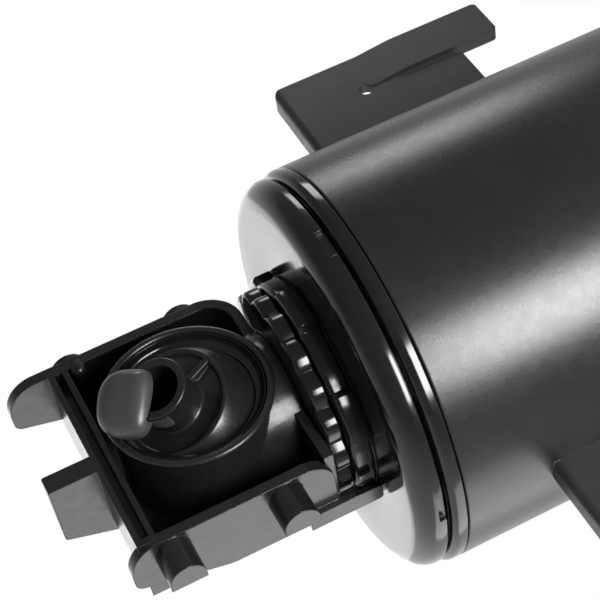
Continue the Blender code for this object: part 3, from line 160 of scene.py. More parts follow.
def foam_material():
    """Reticulated foam: blue struts, with the open cells between them darkened by painted shade."""
    material, tree, shader = new_material("filter_foam")
    place = tree.nodes.new("ShaderNodeTexCoord").outputs["Object"]
    cells = tree.nodes.new("ShaderNodeTexVoronoi")
    cells.feature = "DISTANCE_TO_EDGE"
    cells.inputs["Scale"].default_value = 700.0
    tree.links.new(place, cells.inputs["Vector"])
    struts = spread(tree, cells.outputs["Distance"], 1.0, 0.0, 0.02, 0.22)
    # painted shade: away from the struts the colour falls to near black, standing in for the shade inside
    # the cells
    colour = tint(tree, struts, (0.004, 0.012, 0.035), (0.030, 0.085, 0.200))
    tree.links.new(colour, shader.inputs["Base Color"])
    tree.links.new(spread(tree, struts, 0.95, 0.70), shader.inputs["Roughness"])
    tree.links.new(bump(tree, struts, 0.9, 0.0006, eased_edges(tree, 0.0005)), shader.inputs["Normal"])
    return material


GLOSS = moulded("gloss_black", grey(0.0060), grey(0.0085), (0.10, 0.17), 0.02, waviness=0.02)
CAST = moulded(
    "head_black", grey(0.0090, 0.04), grey(0.0130, 0.04), (0.22, 0.30), 0.05, waviness=0.02, edge=0.00045,
)
SATIN = moulded("satin_black", grey(0.0105), grey(0.0140), (0.26, 0.30), 0.30, 3600.0)
MATT = moulded("wing_black", grey(0.0260), grey(0.0320), (0.44, 0.52), 0.15, 3200.0)
HOOD = moulded("hood_grey", (0.040, 0.042, 0.045), (0.054, 0.056, 0.059), (0.30, 0.38), 0.08)
RUBBER = moulded("rubber_black", grey(0.0120), grey(0.0200), (0.60, 0.75), 0.30, 2200.0)
INNER = moulded("inner_grey", grey(0.045), grey(0.060), (0.38, 0.50), 0.10)
CERAMIC = moulded("shaft_ceramic", grey(0.70, 0.03), grey(0.78, 0.03), (0.14, 0.22), 0.02)
MAGNET = moulded("rotor_ferrite", grey(0.030), grey(0.050), (0.42, 0.58), 0.25, 1800.0)
STEEL = metal("stator_steel", grey(0.38), grey(0.52), (0.28, 0.45), (1.0, 1.0, 12.0))
COPPER = metal("coil_copper", (0.50, 0.17, 0.07), (0.80, 0.34, 0.17), (0.25, 0.40), (1.0, 1.0, 9.0))
FOAM = foam_material()

LOOKS = {  # for the frame's own nodes, where no name means rubber
    "base_strainer": SATIN, "canister_body": SATIN, "canister_collar": GLOSS, "end_cap": GLOSS,
    "union_nut": GLOSS, "pump_casing": CAST, "motor_housing": CAST, "neck_pipe": CAST,
    "grip_ring": GLOSS, "outlet_head": CAST, "ball_ring": GLOSS, "nozzle_ball": CAST,
    "nozzle_hood": HOOD, "core_tube": INNER, "rotor_can": INNER, "impeller": INNER,
    "foam_cartridge": FOAM, "stator_core": STEEL, "rotor_magnet": MAGNET, "coil_right": COPPER,
    "coil_left": COPPER, "impeller_shaft": CERAMIC,
}


def paint(obj, material, sharp=32.0):
    """Gives a material, and smooth shading up to an angle in degrees."""
    obj.data.materials.clear()
    obj.data.materials.append(material)
    obj.data.shade_smooth()
    obj.data.set_sharp_from_angle(angle=math.radians(sharp))
    return obj


for node_name, node in frame["nodes"].items():
    paint(node, LOOKS.get(node_name, RUBBER))


# ==== Modelling tools ==========================================================================
FINE = 192  # facets round the large turned forms
MIDDLE = 96  # round the smaller ones
SMALL = 48  # round bosses, studs and pegs
OVER = 0.0010  # how far a cutter runs past what it cuts
GAP = 0.0003  # the frame's clearance between pieces that touch
SHY = 0.00005  # sets one of two flush faces back, so that joining them stays clean


def solid_from(bm):
    """Turns a bmesh into an object, with its normals outward."""
    bmesh.ops.remove_doubles(bm, verts=bm.verts, dist=1e-7)
    bmesh.ops.recalc_face_normals(bm, faces=bm.faces)
    mesh = bpy.data.meshes.new("solid")
    bm.to_mesh(mesh)
    bm.free()
    obj = bpy.data.objects.new("solid", mesh)
    bpy.context.scene.collection.objects.link(obj)
    return obj


def reaches(corners):
    """How far each corner's rounding runs along its edges, held back where two would meet."""
    places = [Vector(corner[:2]) for corner in corners]
    wanted = []
    for i, corner in enumerate(corners):
        back = places[i - 1] - places[i]
        ahead = places[(i + 1) % len(places)] - places[i]
        half = back.angle(ahead) / 2
        straight = len(corner) < 3 or corner[2] <= 0.0 or half > math.radians(86)
        wanted.append(0.0 if straight else corner[2] / math.tan(half))
    shares = []
    for i in range(len(places)):
        sum_of_two = wanted[i - 1] + wanted[i]
        length = 0.98 * (places[i] - places[i - 1]).length
        shares.append(min(1.0, length / sum_of_two) if sum_of_two > 0.0 else 1.0)
    return [reach * min(shares[i], shares[(i + 1) % len(shares)]) for i, reach in enumerate(wanted)]


def softened(corners, steps=5):
    """The outline with its corners rounded. A corner gives its radius as a third value, or stays sharp."""
    points = []
    for i, reach in enumerate(reaches(corners)):
        here = Vector(corners[i][:2])
        if reach <= 0.0:
            points.append(tuple(here))
            continue
        back = (Vector(corners[i - 1][:2]) - here).normalized()
        ahead = (Vector(corners[(i + 1) % len(corners)][:2]) - here).normalized()
        middle = here + (back + ahead).normalized() * (reach / math.cos(back.angle(ahead) / 2))
        first = here + back * reach - middle
        sweep = first.angle_signed(here + ahead * reach - middle)
        for step in range(steps + 1):
            spoke = first.copy()
            spoke.rotate(Matrix.Rotation(-sweep * step / steps, 2))
            points.append(tuple(middle + spoke))
    return points


def revolve(profile, steps, bends=5):
    """Turns a profile of (radius, height) about Z. It is open where it starts and ends on the axis."""
    is_open = profile[0][0] <= 0.0 and profile[-1][0] <= 0.0
    points = softened(profile, bends)
    bm = bmesh.new()
    verts = [bm.verts.new((radius, 0.0, height)) for radius, height in points]
    edges = [bm.edges.new(pair) for pair in zip(verts, verts[1:])]
    if not is_open:
        edges.append(bm.edges.new((verts[-1], verts[0])))
    bmesh.ops.spin(
        bm, geom=verts + edges, cent=(0, 0, 0), axis=(0, 0, 1), dvec=(0, 0, 0),
        angle=math.tau, steps=steps, use_merge=True, use_duplicate=False,
    )
    return solid_from(bm)


def prism(outline, low, high, axis="Z"):
    """Extrudes an outline along an axis. Its points are the other two coordinates, in order."""
    place = {
        "X": lambda a, b: (low, a, b),
        "Y": lambda a, b: (a, low, b),
        "Z": lambda a, b: (a, b, low),
    }[axis]
    direction = Vector([float(axis == letter) for letter in "XYZ"])
    bm = bmesh.new()
    face = bm.faces.new([bm.verts.new(place(*point[:2])) for point in outline])
    made = bmesh.ops.extrude_face_region(bm, geom=[face])
    top = [item for item in made["geom"] if isinstance(item, bmesh.types.BMVert)]
    bmesh.ops.translate(bm, verts=top, vec=direction * (high - low))
    return solid_from(bm)


def box(x, y, z):
    return prism(((x[0], y[0]), (x[1], y[0]), (x[1], y[1]), (x[0], y[1])), z[0], z[1])


def arc(centre, radius, start, end, steps):
    """Points along an arc, from a start to an end angle in degrees."""
    angles = [math.radians(start + (end - start) * i / steps) for i in range(steps + 1)]
    return [(centre[0] + radius * math.cos(a), centre[1] + radius * math.sin(a)) for a in angles]


def circle(radius, steps, centre=(0.0, 0.0)):
    return arc(centre, radius, 0.0, 360.0, steps)[:-1]


def rod(radius, low, high, steps=MIDDLE):
    """An upright solid cylinder."""
    return prism(circle(radius, steps), low, high)


def ring(inner, outer, low, high, steps=MIDDLE):
    """An upright tube with square edges."""
    return revolve(((inner, low), (outer, low), (outer, high), (inner, high)), steps)


def moved(obj, matrix):
    obj.data.transform(matrix)
    return obj


def spun(obj, degrees):
    return moved(obj, Matrix.Rotation(math.radians(degrees), 4, "Z"))


def raised(obj, height):
    return moved(obj, Matrix.Translation((0.0, 0.0, height)))


def together(objects):
    """Puts separate solids into one object, such as a set of cutters."""
    bm = bmesh.new()
    for obj in objects:
        bm.from_mesh(obj.data)
        bpy.data.objects.remove(obj)
    return solid_from(bm)


def combine(target, tools, operation):
    """Applies one boolean for each tool and deletes the tools."""
    for tool in tools:
        modifier = target.modifiers.new(operation, "BOOLEAN")
        modifier.operation = operation
        modifier.solver = "EXACT"
        modifier.object = tool
        graph = bpy.context.evaluated_depsgraph_get()
        mesh = bpy.data.meshes.new_from_object(target.evaluated_get(graph))
        target.modifiers.clear()
        target.data = mesh
        bpy.data.objects.remove(tool)
    return target


def join(target, *tools):
    return combine(target, tools, "UNION")


def cut(target, *tools):
    return combine(target, tools, "DIFFERENCE")


def common(target, *tools):
    return combine(target, tools, "INTERSECT")


def lofted(sections):
    """A solid through outlines of equal length, each given as (points, height)."""
    bm = bmesh.new()
    loops = [[bm.verts.new((x, y, height)) for x, y in points] for points, height in sections]
    for low, high in zip(loops, loops[1:]):
        for i in range(len(low)):
            bm.faces.new((low[i - 1], low[i], high[i], high[i - 1]))
    bm.faces.new(loops[0])
    bm.faces.new(loops[-1])
    return solid_from(bm)


def piece(name, obj, material, slot, body, *replaced, sharp=32.0):
    """Names a finished solid, paints it, and puts it on its body in place of frame nodes."""
    obj.name = name
    obj.data.name = name
    paint(obj, material, sharp)
    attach(obj, body)
    if replaced:
        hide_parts(*replaced)
    return obj


# ==== Heights and centres, from the frame ======================================================
COLLAR_LOW, COLLAR_TOP = (corner.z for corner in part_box("canister_collar"))
TUBE_LOW, TUBE_HIGH = (corner.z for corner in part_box("canister_body"))
NUT_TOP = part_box("union_nut")[1].z
PLATE_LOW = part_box("grip_ring")[1].z + GAP
JOINTS = {joint["name"]: joint for joint in frame["joints"]}
BALL = Vector(JOINTS["nozzle_tilt"]["pos_m"])
NOZZLE_TURN = 12.6
NOZZLE_TILT = 22.0
HOOD_TURN = -30.0
TO_OUTLET = Matrix.Translation(BALL) @ Matrix.Rotation(math.radians(90), 4, "X")
TO_NOZZLE = (
    TO_OUTLET
    @ Matrix.Rotation(math.radians(NOZZLE_TURN), 4, "Z")
    @ Matrix.Rotation(math.radians(-NOZZLE_TILT), 4, "X")
)
TO_HOOD = TO_NOZZLE @ Matrix.Rotation(math.radians(HOOD_TURN), 4, "Z")


# ==== Canister =================================================================================
RADIUS = 0.0550
BORE = 0.0524
SLEEVE = BORE - GAP
WING_ROOT = (RADIUS + BORE) / 2
WING_REACH = 0.1035
WING_THICK = 0.0030
WING_FRONT = -0.0037
WING_BACK = WING_FRONT + WING_THICK
WING_TOP = COLLAR_TOP - 0.0280
WING_LOW = WING_TOP - 0.0555
WING_EDGE = 0.0024
WING_CORNER = 0.0022
SLIT = 0.0015
SLIT_HOLE = 0.0021
SLIT_END = WING_TOP - 0.0239
FINGER_INNER = WING_REACH - 0.0140
FINGER_END = WING_TOP - 0.0690
FINGER_CORNER = 0.0018
RAMP_LOW = FINGER_END + 0.0300
RAMP_HIGH = RAMP_LOW + 0.0110


def tube():
    """The moulded tube, with its ends' edges rounded."""
    return revolve((
        (BORE, TUBE_LOW), (RADIUS, TUBE_LOW, 0.0004), (RADIUS, TUBE_HIGH, 0.0005), (BORE, TUBE_HIGH, 0.0004),
    ), FINE)


def wing_outline():
    """One wing in the XZ plane: a plate, and a snap finger behind a narrow slit."""
    return softened((
        (WING_ROOT, WING_TOP, 0), (WING_REACH, WING_TOP, WING_CORNER),
        (WING_REACH, FINGER_END, FINGER_CORNER), (FINGER_INNER, FINGER_END, FINGER_CORNER),
        (FINGER_INNER, SLIT_END, 0), (FINGER_INNER - SLIT, SLIT_END, 0),
        (FINGER_INNER - SLIT, WING_LOW, FINGER_CORNER), (WING_ROOT, WING_LOW, 0),
    ), steps=8)


def wing_flange():
    """The flange behind the wing's upper edge."""
    height, depth = 0.0030, 0.0065
    low = WING_TOP - height
    outline = softened((
        (WING_ROOT, WING_TOP, 0), (WING_REACH, WING_TOP, WING_CORNER), (WING_REACH, low, 0),
        (WING_ROOT, low, 0),
    ), steps=8)
    return prism(outline, WING_FRONT + WING_THICK / 2, WING_FRONT + depth, "Y")


def finger_pad():
    """The finger's thicker outer part with the slope up to it."""
    proud = WING_FRONT - 0.0012
    inside = WING_FRONT + WING_THICK / 2
    side = softened((
        (inside, FINGER_END, 0), (proud, FINGER_END, 0.0005), (proud, RAMP_LOW, 0.0030),
        (WING_FRONT, RAMP_HIGH, 0), (inside, RAMP_HIGH, 0),
    ), steps=6)
    face = softened((
        (FINGER_INNER, FINGER_END, FINGER_CORNER), (WING_REACH, FINGER_END, FINGER_CORNER),
        (WING_REACH, COLLAR_TOP, 0), (FINGER_INNER, COLLAR_TOP, 0),
    ), steps=8)
    pad = prism(side, FINGER_INNER - OVER, WING_REACH + OVER, "X")
    return common(pad, prism(face, proud - OVER, inside + OVER, "Y"))


def rounding_cutter():
    """What the rounding along the wing's upper front edge takes away."""
    bend_points = arc((WING_FRONT + WING_EDGE, WING_TOP - WING_EDGE), WING_EDGE, 180, 90, 10)
    outline = [
        (WING_FRONT - OVER, WING_TOP - WING_EDGE), *bend_points,
        (WING_FRONT + WING_EDGE, WING_TOP + OVER), (WING_FRONT - OVER, WING_TOP + OVER),
    ]
    return prism(outline, RADIUS, WING_REACH + OVER, "X")


def wing(side):
    """A mounting wing with its flange, its snap finger and the slit's round hole."""
    plate = prism(wing_outline(), WING_FRONT, WING_BACK, "Y")
    centre = (FINGER_INNER - SLIT / 2, SLIT_END)
    hole = prism(circle(SLIT_HOLE, 36, centre), WING_FRONT - OVER, WING_BACK + OVER, "Y")
    made = cut(join(plate, wing_flange(), finger_pad()), hole, rounding_cutter())
    if side < 0:
        moved(made, Matrix.Scale(-1, 4, (1, 0, 0)))
        made.data.flip_normals()
    return made


def collar():
    """The bright bead between the tube and the cap, with its sleeve inside the tube."""
    edge, wall = 0.0025, 0.0017
    bore = SLEEVE - wall
    low = TUBE_HIGH + GAP
    bead = arc((RADIUS - edge, COLLAR_TOP - edge), edge, 0, 90, 14)
    profile = [
        (bore, COLLAR_LOW, 0), (SLEEVE, COLLAR_LOW, 0), (SLEEVE, low, 0), (RADIUS, low, 0.0003), *bead,
        (bore, COLLAR_TOP, 0.0003),
    ]
    return revolve(profile, FINE)


def strainer():
    """The slotted base with a rounded lower edge."""
    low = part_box("base_strainer")[0].z
    top = TUBE_LOW - GAP
    wall, edge, corner = 0.0026, 0.0030, 0.0005
    spigot_wall, spigot = 0.0032, top + 0.0090
    inner = RADIUS - wall
    bore = SLEEVE - spigot_wall
    floor = low + edge
    profile = [
        (0.0, low), *arc((RADIUS - edge, floor), edge, -90, 0, 8), (RADIUS, top, 0.0004),
        (SLEEVE, top, 0), (SLEEVE, spigot, corner), (bore, spigot, corner),
        (bore, top - wall, 0), (inner, top - 2 * wall, 0), (inner, floor, 0), (0.0, floor),
    ]
    count, half, band = 24, 0.0016, 0.0065
    slot = softened((
        (-half, low + band, half), (half, low + band, half), (half, top - band, half),
        (-half, top - band, half),
    ), 6)
    cutters = [spun(prism(slot, inner - OVER, RADIUS + OVER, "X"), 360.0 * i / count) for i in range(count)]
    boss_radius, boss_height = 0.0121, 0.0080
    boss = rod(boss_radius, floor - OVER, floor + boss_height, SMALL)
    return cut(join(revolve(profile, FINE), boss), together(cutters))


def rubber_foot(node_box):
    """A foot under the strainer, with its peg in the floor."""
    low, high = node_box
    x, y = (low.x + high.x) / 2, (low.y + high.y) / 2
    pad_height, peg = 0.0017, 0.0022
    radius, top = (high.x - low.x) / 2, low.z + pad_height
    foot = revolve((
        (0.0, low.z), (radius, low.z, 0.0006), (radius, top, 0.0003), (peg, top, 0),
        (peg, high.z, 0.0003), (0.0, high.z),
    ), SMALL)
    return moved(foot, Matrix.Translation((x, y, 0.0)))


def foam():
    """The foam cartridge: a soft sleeve whose skin is rough with cut cells."""
    low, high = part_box("foam_cartridge")
    outer, inner, corner = high.x, 0.0146, 0.0012
    rows, columns = 90, 160
    depth, frequency = 0.0003, 600.0
    wall = [(outer, low.z + corner + (high.z - low.z - 2 * corner) * i / rows) for i in range(rows + 1)]
    profile = [(inner, low.z), (outer - corner, low.z), *wall, (outer - corner, high.z), (inner, high.z)]
    sleeve = revolve(profile, columns)
    for vert in sleeve.data.vertices:
        if vert.co.xy.length > inner + corner:
            dent = depth + depth * field.noise(vert.co * frequency)
            vert.co.xy *= 1.0 - dent / vert.co.xy.length
    return sleeve


# ==== End cap, gland and union nut, with the collar's top as height 0 =========================
NECK_FOOT = 0.0068  # from the neck's lower end up to its flange
CAP_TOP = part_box("neck_pipe")[0].z + NECK_FOOT - GAP - COLLAR_TOP
CAP_RADIUS = RADIUS - 0.0010
CAP_SHOULDER = 0.0063
CAP_EDGE = CAP_TOP - CAP_SHOULDER
NUT_BORE = 0.0274
NUT_RADIUS = 0.0318
SOCKET = 0.0298


def end_cap():
    """The glossy cap: plug, rounded shoulder, thin rim with notches, and the nut's socket."""
    flat = CAP_RADIUS - CAP_SHOULDER
    neck_bore, socket_wall, socket_low, ceiling = 0.0242, 0.0331, -0.0020, 0.0050
    plug_bore, plug, plug_low = 0.0474, 0.0501, -0.0127
    groove, groove_low, groove_top = 0.0487, -0.0081, -0.0055
    rim, rim_low, socket_floor, corner = 0.0520, 0.0010, 0.0005, 0.0003
    profile = [
        (neck_bore, socket_low, 0), (socket_wall, socket_low, 0), (socket_wall, ceiling, 0),
        (plug_bore, ceiling, 0), (plug_bore, plug_low, 0), (plug, plug_low, 0.0005),
        (plug, groove_low, 0), (groove, groove_low, 0), (groove, groove_top, 0), (plug, groove_top, 0),
        (plug, GAP, 0), (rim, GAP, 0.0002), (rim, rim_low, 0), (CAP_RADIUS, rim_low, corner),
        *arc((flat, CAP_EDGE), CAP_SHOULDER, 0, 90, 24), (SOCKET, CAP_TOP, corner),
        (SOCKET, socket_floor, 0), (NUT_BORE, socket_floor, 0), (NUT_BORE, CAP_TOP, corner),
        (neck_bore, CAP_TOP, corner),
    ]
    half, notch_bottom, notch_height = 0.00415, 0.0523, 0.0029
    notches = []
    for angle in (-95.0, -175.0, 85.0, 5.0):
        notches.append(spun(box((notch_bottom, RADIUS), (-half, half), (0.0, notch_height)), angle))
    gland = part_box("cable_gland")
    centre = ((gland[0].x + gland[1].x) / 2, (gland[0].y + gland[1].y) / 2)
    gland_hole = 0.0046
    hole = prism(circle(gland_hole, SMALL, centre), ceiling - OVER, CAP_TOP + OVER)
    return raised(cut(revolve(profile, FINE), together(notches), hole), COLLAR_TOP)


def cable_gland():
    """The empty cable inlet: a flanged bush with a fluted, domed nut."""
    low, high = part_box("cable_gland")
    x, y = (low.x + high.x) / 2, (low.y + high.y) / 2
    base = COLLAR_TOP + CAP_TOP + GAP
    bore, shank, body, flange = 0.0032, 0.0043, 0.0052, 0.0058
    flange_top, dome = base + 0.0012, 0.0020
    count, flute, inset = 12, 0.0007, 0.0004
    made = revolve([
        (bore, low.z, 0), (shank, low.z, 0), (shank, base, 0), (flange, base, 0.0002),
        (flange, flange_top, 0.0004), (body, flange_top, 0.0002),
        *arc((bore, high.z - dome), dome, 0, 80, 8), (bore, high.z, 0.0002),
    ], MIDDLE)
    flutes = []
    for i in range(count):
        angle = math.tau * i / count
        centre = ((body + inset) * math.cos(angle), (body + inset) * math.sin(angle))
        flutes.append(prism(circle(flute, 12, centre), flange_top + inset, high.z - 0.0012))
    return moved(cut(made, together(flutes)), Matrix.Translation((x, y, 0.0)))


def nut_outline(radius):
    """The nut's outline: six raised pads with shallow recesses between them."""
    count, pad, flank, first = 6, 26.0, 2.4, -89.0  # angles in degrees
    pitch = 360.0 / count
    recess, steps = 0.0018, 12
    points = []
    for i in range(count):
        start = first - pad / 2 + pitch * i
        for k in range(steps + 1):
            points.append((start + flank / 2 + (pad - flank) * k / steps, radius))
        for k in range(steps + 1):
            points.append((start + pad + flank / 2 + (pitch - pad - flank) * k / steps, radius - recess))
    return [(r * math.cos(math.radians(a)), r * math.sin(math.radians(a))) for a, r in points]


def union_nut():
    """The ring nut: pads with rounded upper edges, an inward lip, and a skirt in the cap's socket."""
    edge, bevel = 0.0014, 0.0002
    bottom = COLLAR_TOP + CAP_TOP + GAP
    sections = [(nut_outline(NUT_RADIUS - bevel), bottom), (nut_outline(NUT_RADIUS), bottom + bevel)]
    for inset, height in arc((-edge, NUT_TOP - edge), edge, 0, 90, 8):
        sections.append((nut_outline(NUT_RADIUS + inset), height))
    well_radius, lip, mouth_radius = 0.02725, 0.0016, 0.0206
    well = rod(well_radius, bottom - OVER, NUT_TOP - lip)
    mouth = rod(mouth_radius, NUT_TOP - lip - 0.0014, NUT_TOP + OVER)
    skirt = ring(NUT_BORE + GAP, SOCKET - GAP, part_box("union_nut")[0].z, bottom + OVER, FINE)
    return join(cut(lofted(sections), well, mouth), skirt)


def lobed_outline(radius):
    """Rounded lobes side by side, as on a knurled knob."""
    lobes, depth, steps = 18, 0.0018, 14
    points = []
    for i in range(lobes * steps):
        angle = math.tau * i / (lobes * steps)
        reach = radius - depth * (1.0 - abs(math.sin(lobes * angle / 2)))
        points.append((reach * math.cos(angle), reach * math.sin(angle)))
    return points


def grip_ring():
    """The knurled ring above the nut, open round the neck."""
    low, high = (corner.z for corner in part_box("grip_ring"))
    radius, bore, edge, bevel = 0.0296, 0.0193, 0.0012, 0.0004
    sections = [(lobed_outline(radius - bevel), low), (lobed_outline(radius), low + bevel)]
    for inset, height in arc((-edge, high - edge), edge, 0, 90, 6):
        sections.append((lobed_outline(radius + inset), height))
    return cut(lofted(sections), rod(bore, low - OVER, high + OVER))


def neck_pipe():
    """The pipe from the cap to the head, with a seal groove, a flange and a step."""
    low, high = (corner.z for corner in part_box("neck_pipe"))
    flange = COLLAR_TOP + CAP_TOP + GAP
    flange_top = flange + 0.0033
    bore, foot, groove, wide, waist, spigot = 0.0140, 0.0216, 0.0202, 0.0268, 0.0190, 0.0164
    groove_low, groove_top, step = low + 0.0014, low + 0.0040, PLATE_LOW - GAP
    return revolve([
        (bore, low, 0), (foot, low, 0.0004), (foot, groove_low, 0), (groove, groove_low, 0),
        (groove, groove_top, 0), (foot, groove_top, 0), (foot, flange, 0), (wide, flange, 0),
        (wide, flange_top, 0.0004), (waist, flange_top, 0.0006), (waist, step, 0),
        (spigot, step, 0), (spigot, high, 0), (bore, high, 0.0004),
    ], MIDDLE)


# ==== Outlet head, with the end plate's underside as height 0 ==================================
SPAN = 0.0323  # half the width over the rails
THICK = 0.0030
FRONT = -0.0121
REAR = 0.0089
CROSS_LOW = 0.0467
CROSS_TOP = 0.0520
CUP_RISE = BALL.z - PLATE_LOW
CUP_FORWARD = 0.0104
PLATE_TOP = 0.0027
PLATE_CURVE = 0.0070
LONG_RAIL = 0.0643
SHORT_RAIL = 0.0554


def rail_nose(length):
    """Corners of a rail's far end in the YZ plane: slanted behind, and rounded in front."""
    return (
        (REAR, length - 0.0245, 0.0100), (REAR - 0.0073, length, 0.0028), (FRONT, length, 0.0087),
    )


def short_rail():
    """The rail on the -X side: a flat cheek with round ends."""
    low = 0.0012
    outline = softened(((FRONT, low, 0.0070), (REAR, low, 0.0060), *rail_nose(SHORT_RAIL)), steps=14)
    return prism(outline, -SPAN, THICK - SPAN, "X")


def long_rail():
    """The rail on the +X side, which bends out of the end plate."""
    inner, top = SPAN - THICK, LONG_RAIL + OVER
    path = softened((
        (OVER, 0.0, 0), (SPAN, 0.0, PLATE_CURVE + THICK), (SPAN, top, 0), (inner, top, 0),
        (inner, PLATE_TOP, PLATE_CURVE), (OVER, PLATE_TOP, 0),
    ), steps=14)
    strip = prism(path, FRONT - OVER, REAR + OVER, "Y")
    side = softened(((FRONT, -OVER, 0), (REAR, -OVER, 0), *rail_nose(LONG_RAIL)), steps=14)
    return common(strip, prism(side, -OVER, SPAN + OVER, "X"))


def rail_pin(side, height, reach):
    """A half-round pin on a rail's outer face, flat towards the back."""
    half, depth, set_back = 0.0047, 0.0066, 0.0002
    front = FRONT + set_back
    back = front + depth
    outline = [*arc((front + half, height), half, 270, 90, 28), (back, height + half), (back, height - half)]
    root, tip = SPAN - THICK / 2, SPAN + reach
    return prism(outline, min(side * root, side * tip), max(side * root, side * tip), "X")


def rail_boss():
    """The small domed stud inside the long rail."""
    radius, reach, inset = 0.0024, 0.0028, 0.0019
    dome = arc((0.0, reach - radius), radius, 0, 90, 10)
    stud = revolve([(0.0, -THICK / 2), (radius, -THICK / 2), *dome[:-1], (0.0, reach)], SMALL)
    moved(stud, Matrix.Rotation(math.radians(-90), 4, "Y"))
    return moved(stud, Matrix.Translation((SPAN - THICK, FRONT + inset, CROSS_LOW - radius - GAP)))


def cup_shell():
    """The outer form of the ball's cup, turned about the outlet's axis, with a rounded lip."""
    lip, radius, lip_height, back, edge = 0.0219, 0.0205, 0.0028, 0.0233, 0.0008
    low = CUP_FORWARD - lip_height
    turn = radius * 0.45
    profile = [
        (0.0, -back), *arc((radius - turn, turn - back), turn, -90, 0, 14), (radius, low, 0.0006),
        (lip, low + lip - radius, 0.0005), *arc((lip - edge, CUP_FORWARD - edge), edge, 0, 90, 8),
        (0.0, CUP_FORWARD),
    ]
    return revolve(profile, FINE)


def cup_hollow():
    """The room inside the cup, with the lip's rounding into it."""
    bore, back, chamber, seat, edge = 0.0199, 0.0203, 0.0165, 0.0118, 0.0007
    mouth = arc((bore + edge, CUP_FORWARD - edge), edge, 180, 90, 8)
    return revolve([
        (0.0, -back), (chamber, -back, 0), (chamber, -seat, 0), (bore, -seat, 0), *mouth,
        (bore + edge, CUP_FORWARD + OVER, 0), (0.0, CUP_FORWARD + OVER),
    ], FINE)


def head_plates():
    """The end plate, back plate, grooved cross wall and fin that tie the rails to the cup."""
    inside, front, rear = SPAN - THICK / 2, FRONT + SHY, REAR - SHY
    end_reach, back_wall, back_low, back_top = 0.0100, 0.0026, 0.0014, 0.0480
    end = box((-inside, end_reach), (front, rear), (SHY, PLATE_TOP - SHY))
    back = box((-inside, inside), (REAR - back_wall, rear - SHY), (back_low, back_top))
    wall = box((-inside, inside), (front, rear), (CROSS_LOW, CROSS_TOP))
    reach = SPAN - THICK - GAP
    groove_depth, groove_wall = 0.0050, 0.00155
    groove = box(
        (-reach, reach), (FRONT - OVER, FRONT + groove_depth),
        (CROSS_LOW + groove_wall, CROSS_TOP - groove_wall),
    )
    top, root, ledge, ledge_back = 0.0650, CROSS_TOP - OVER, CUP_RISE + 0.0165, REAR - 0.0013
    fin_outline = softened((
        (FRONT, root, 0), (ledge_back, root, 0), (ledge_back, ledge, 0), (0.0114, ledge, 0),
        (0.0140, top - 0.0157, 0.0016), (0.0080, top, 0.0012), (FRONT, top, 0.0007),
    ), steps=6)
    fin = prism(fin_outline, -0.0050, 0.0003, "X")
    return join(cut(join(end, back, wall), groove), fin)


def rail_tongue():
    """The finger at the short rail's lower back corner that points down past the nut."""
    width, wall, corner = 0.0050, 0.0018, 0.0010
    back = REAR - GAP
    front, top = back - width, 0.0100
    tip = COLLAR_TOP + CAP_TOP + 2 * GAP - PLATE_LOW
    root = NUT_TOP + 2 * GAP - PLATE_LOW
    inner = -(NUT_RADIUS + 2 * GAP)
    outer = inner - wall
    finger = softened(((front, tip, corner), (back, tip, corner), (back, top, 0), (front, top, 0)), steps=5)
    heel = ((front, root), (back, root), (back, top), (front, top))
    return join(prism(finger, outer, inner, "X"), prism(heel, outer + GAP, THICK / 2 - SPAN, "X"))


def facing_forward(obj):
    """Turns a form about local Z into the head's own frame, to face the nozzle's way."""
    place = Matrix.Translation((0.0, BALL.y, CUP_RISE))
    return moved(obj, place @ Matrix.Rotation(math.radians(90), 4, "X"))


def outlet_head():
    """The moulded head: rails, plates, pins and neck round the cup, hollowed in one go."""
    duct_radius, socket_radius, socket_depth, pin_reach, pad_reach = 0.0190, 0.0167, 0.0034, 0.0095, 0.0018
    duct = rod(duct_radius, SHY / 2, CUP_RISE)
    pins = [rail_pin(-1, height, pin_reach) for height in (0.0142, 0.0442)]
    pads = [rail_pin(1, height, pad_reach) for height in (0.0139, 0.0456)]
    body = join(head_plates(), short_rail(), long_rail(), duct, facing_forward(cup_shell()), *pins, *pads)
    body = join(body, rail_tongue(), rail_boss())
    socket = rod(socket_radius, -OVER, socket_depth)
    passage = box((-0.0100, 0.0100), (0.0036, 0.0128), (0.0024, 0.0160))
    return raised(cut(body, facing_forward(cup_hollow()), socket, passage), PLATE_LOW)


# ==== Ball nozzle and hood, turned about local Z ===============================================
BALL_RADIUS = 0.0180
JET_RADIUS = 0.0070
JET_BORE = 0.0059
JET_REACH = 0.0205
RIM_RADIUS = 0.0081
RIM_HEIGHT = 0.0014
RIM_LOW = JET_REACH - RIM_HEIGHT


def ball_arc(radius, low, high, steps):
    """Points on a sphere's profile from one height to another."""
    start, end = (math.degrees(math.asin(height / radius)) for height in (low, high))
    return arc((0.0, 0.0), radius, start, end, steps)


def ball_ring():
    """The ring that keeps the ball in its cup. A smooth hollow leads from the ball out to the lip."""
    outer, top, mouth = 0.0196, 0.0098, 0.0074
    inside = ball_arc(BALL_RADIUS + GAP, 0.0, mouth, 14)
    hollow = arc((inside[-1][0] + 0.0002, top), top - mouth, -90, 0, 16)
    return moved(revolve([*inside, *hollow, (outer, top, 0), (outer, 0.0, 0)], FINE), TO_OUTLET)


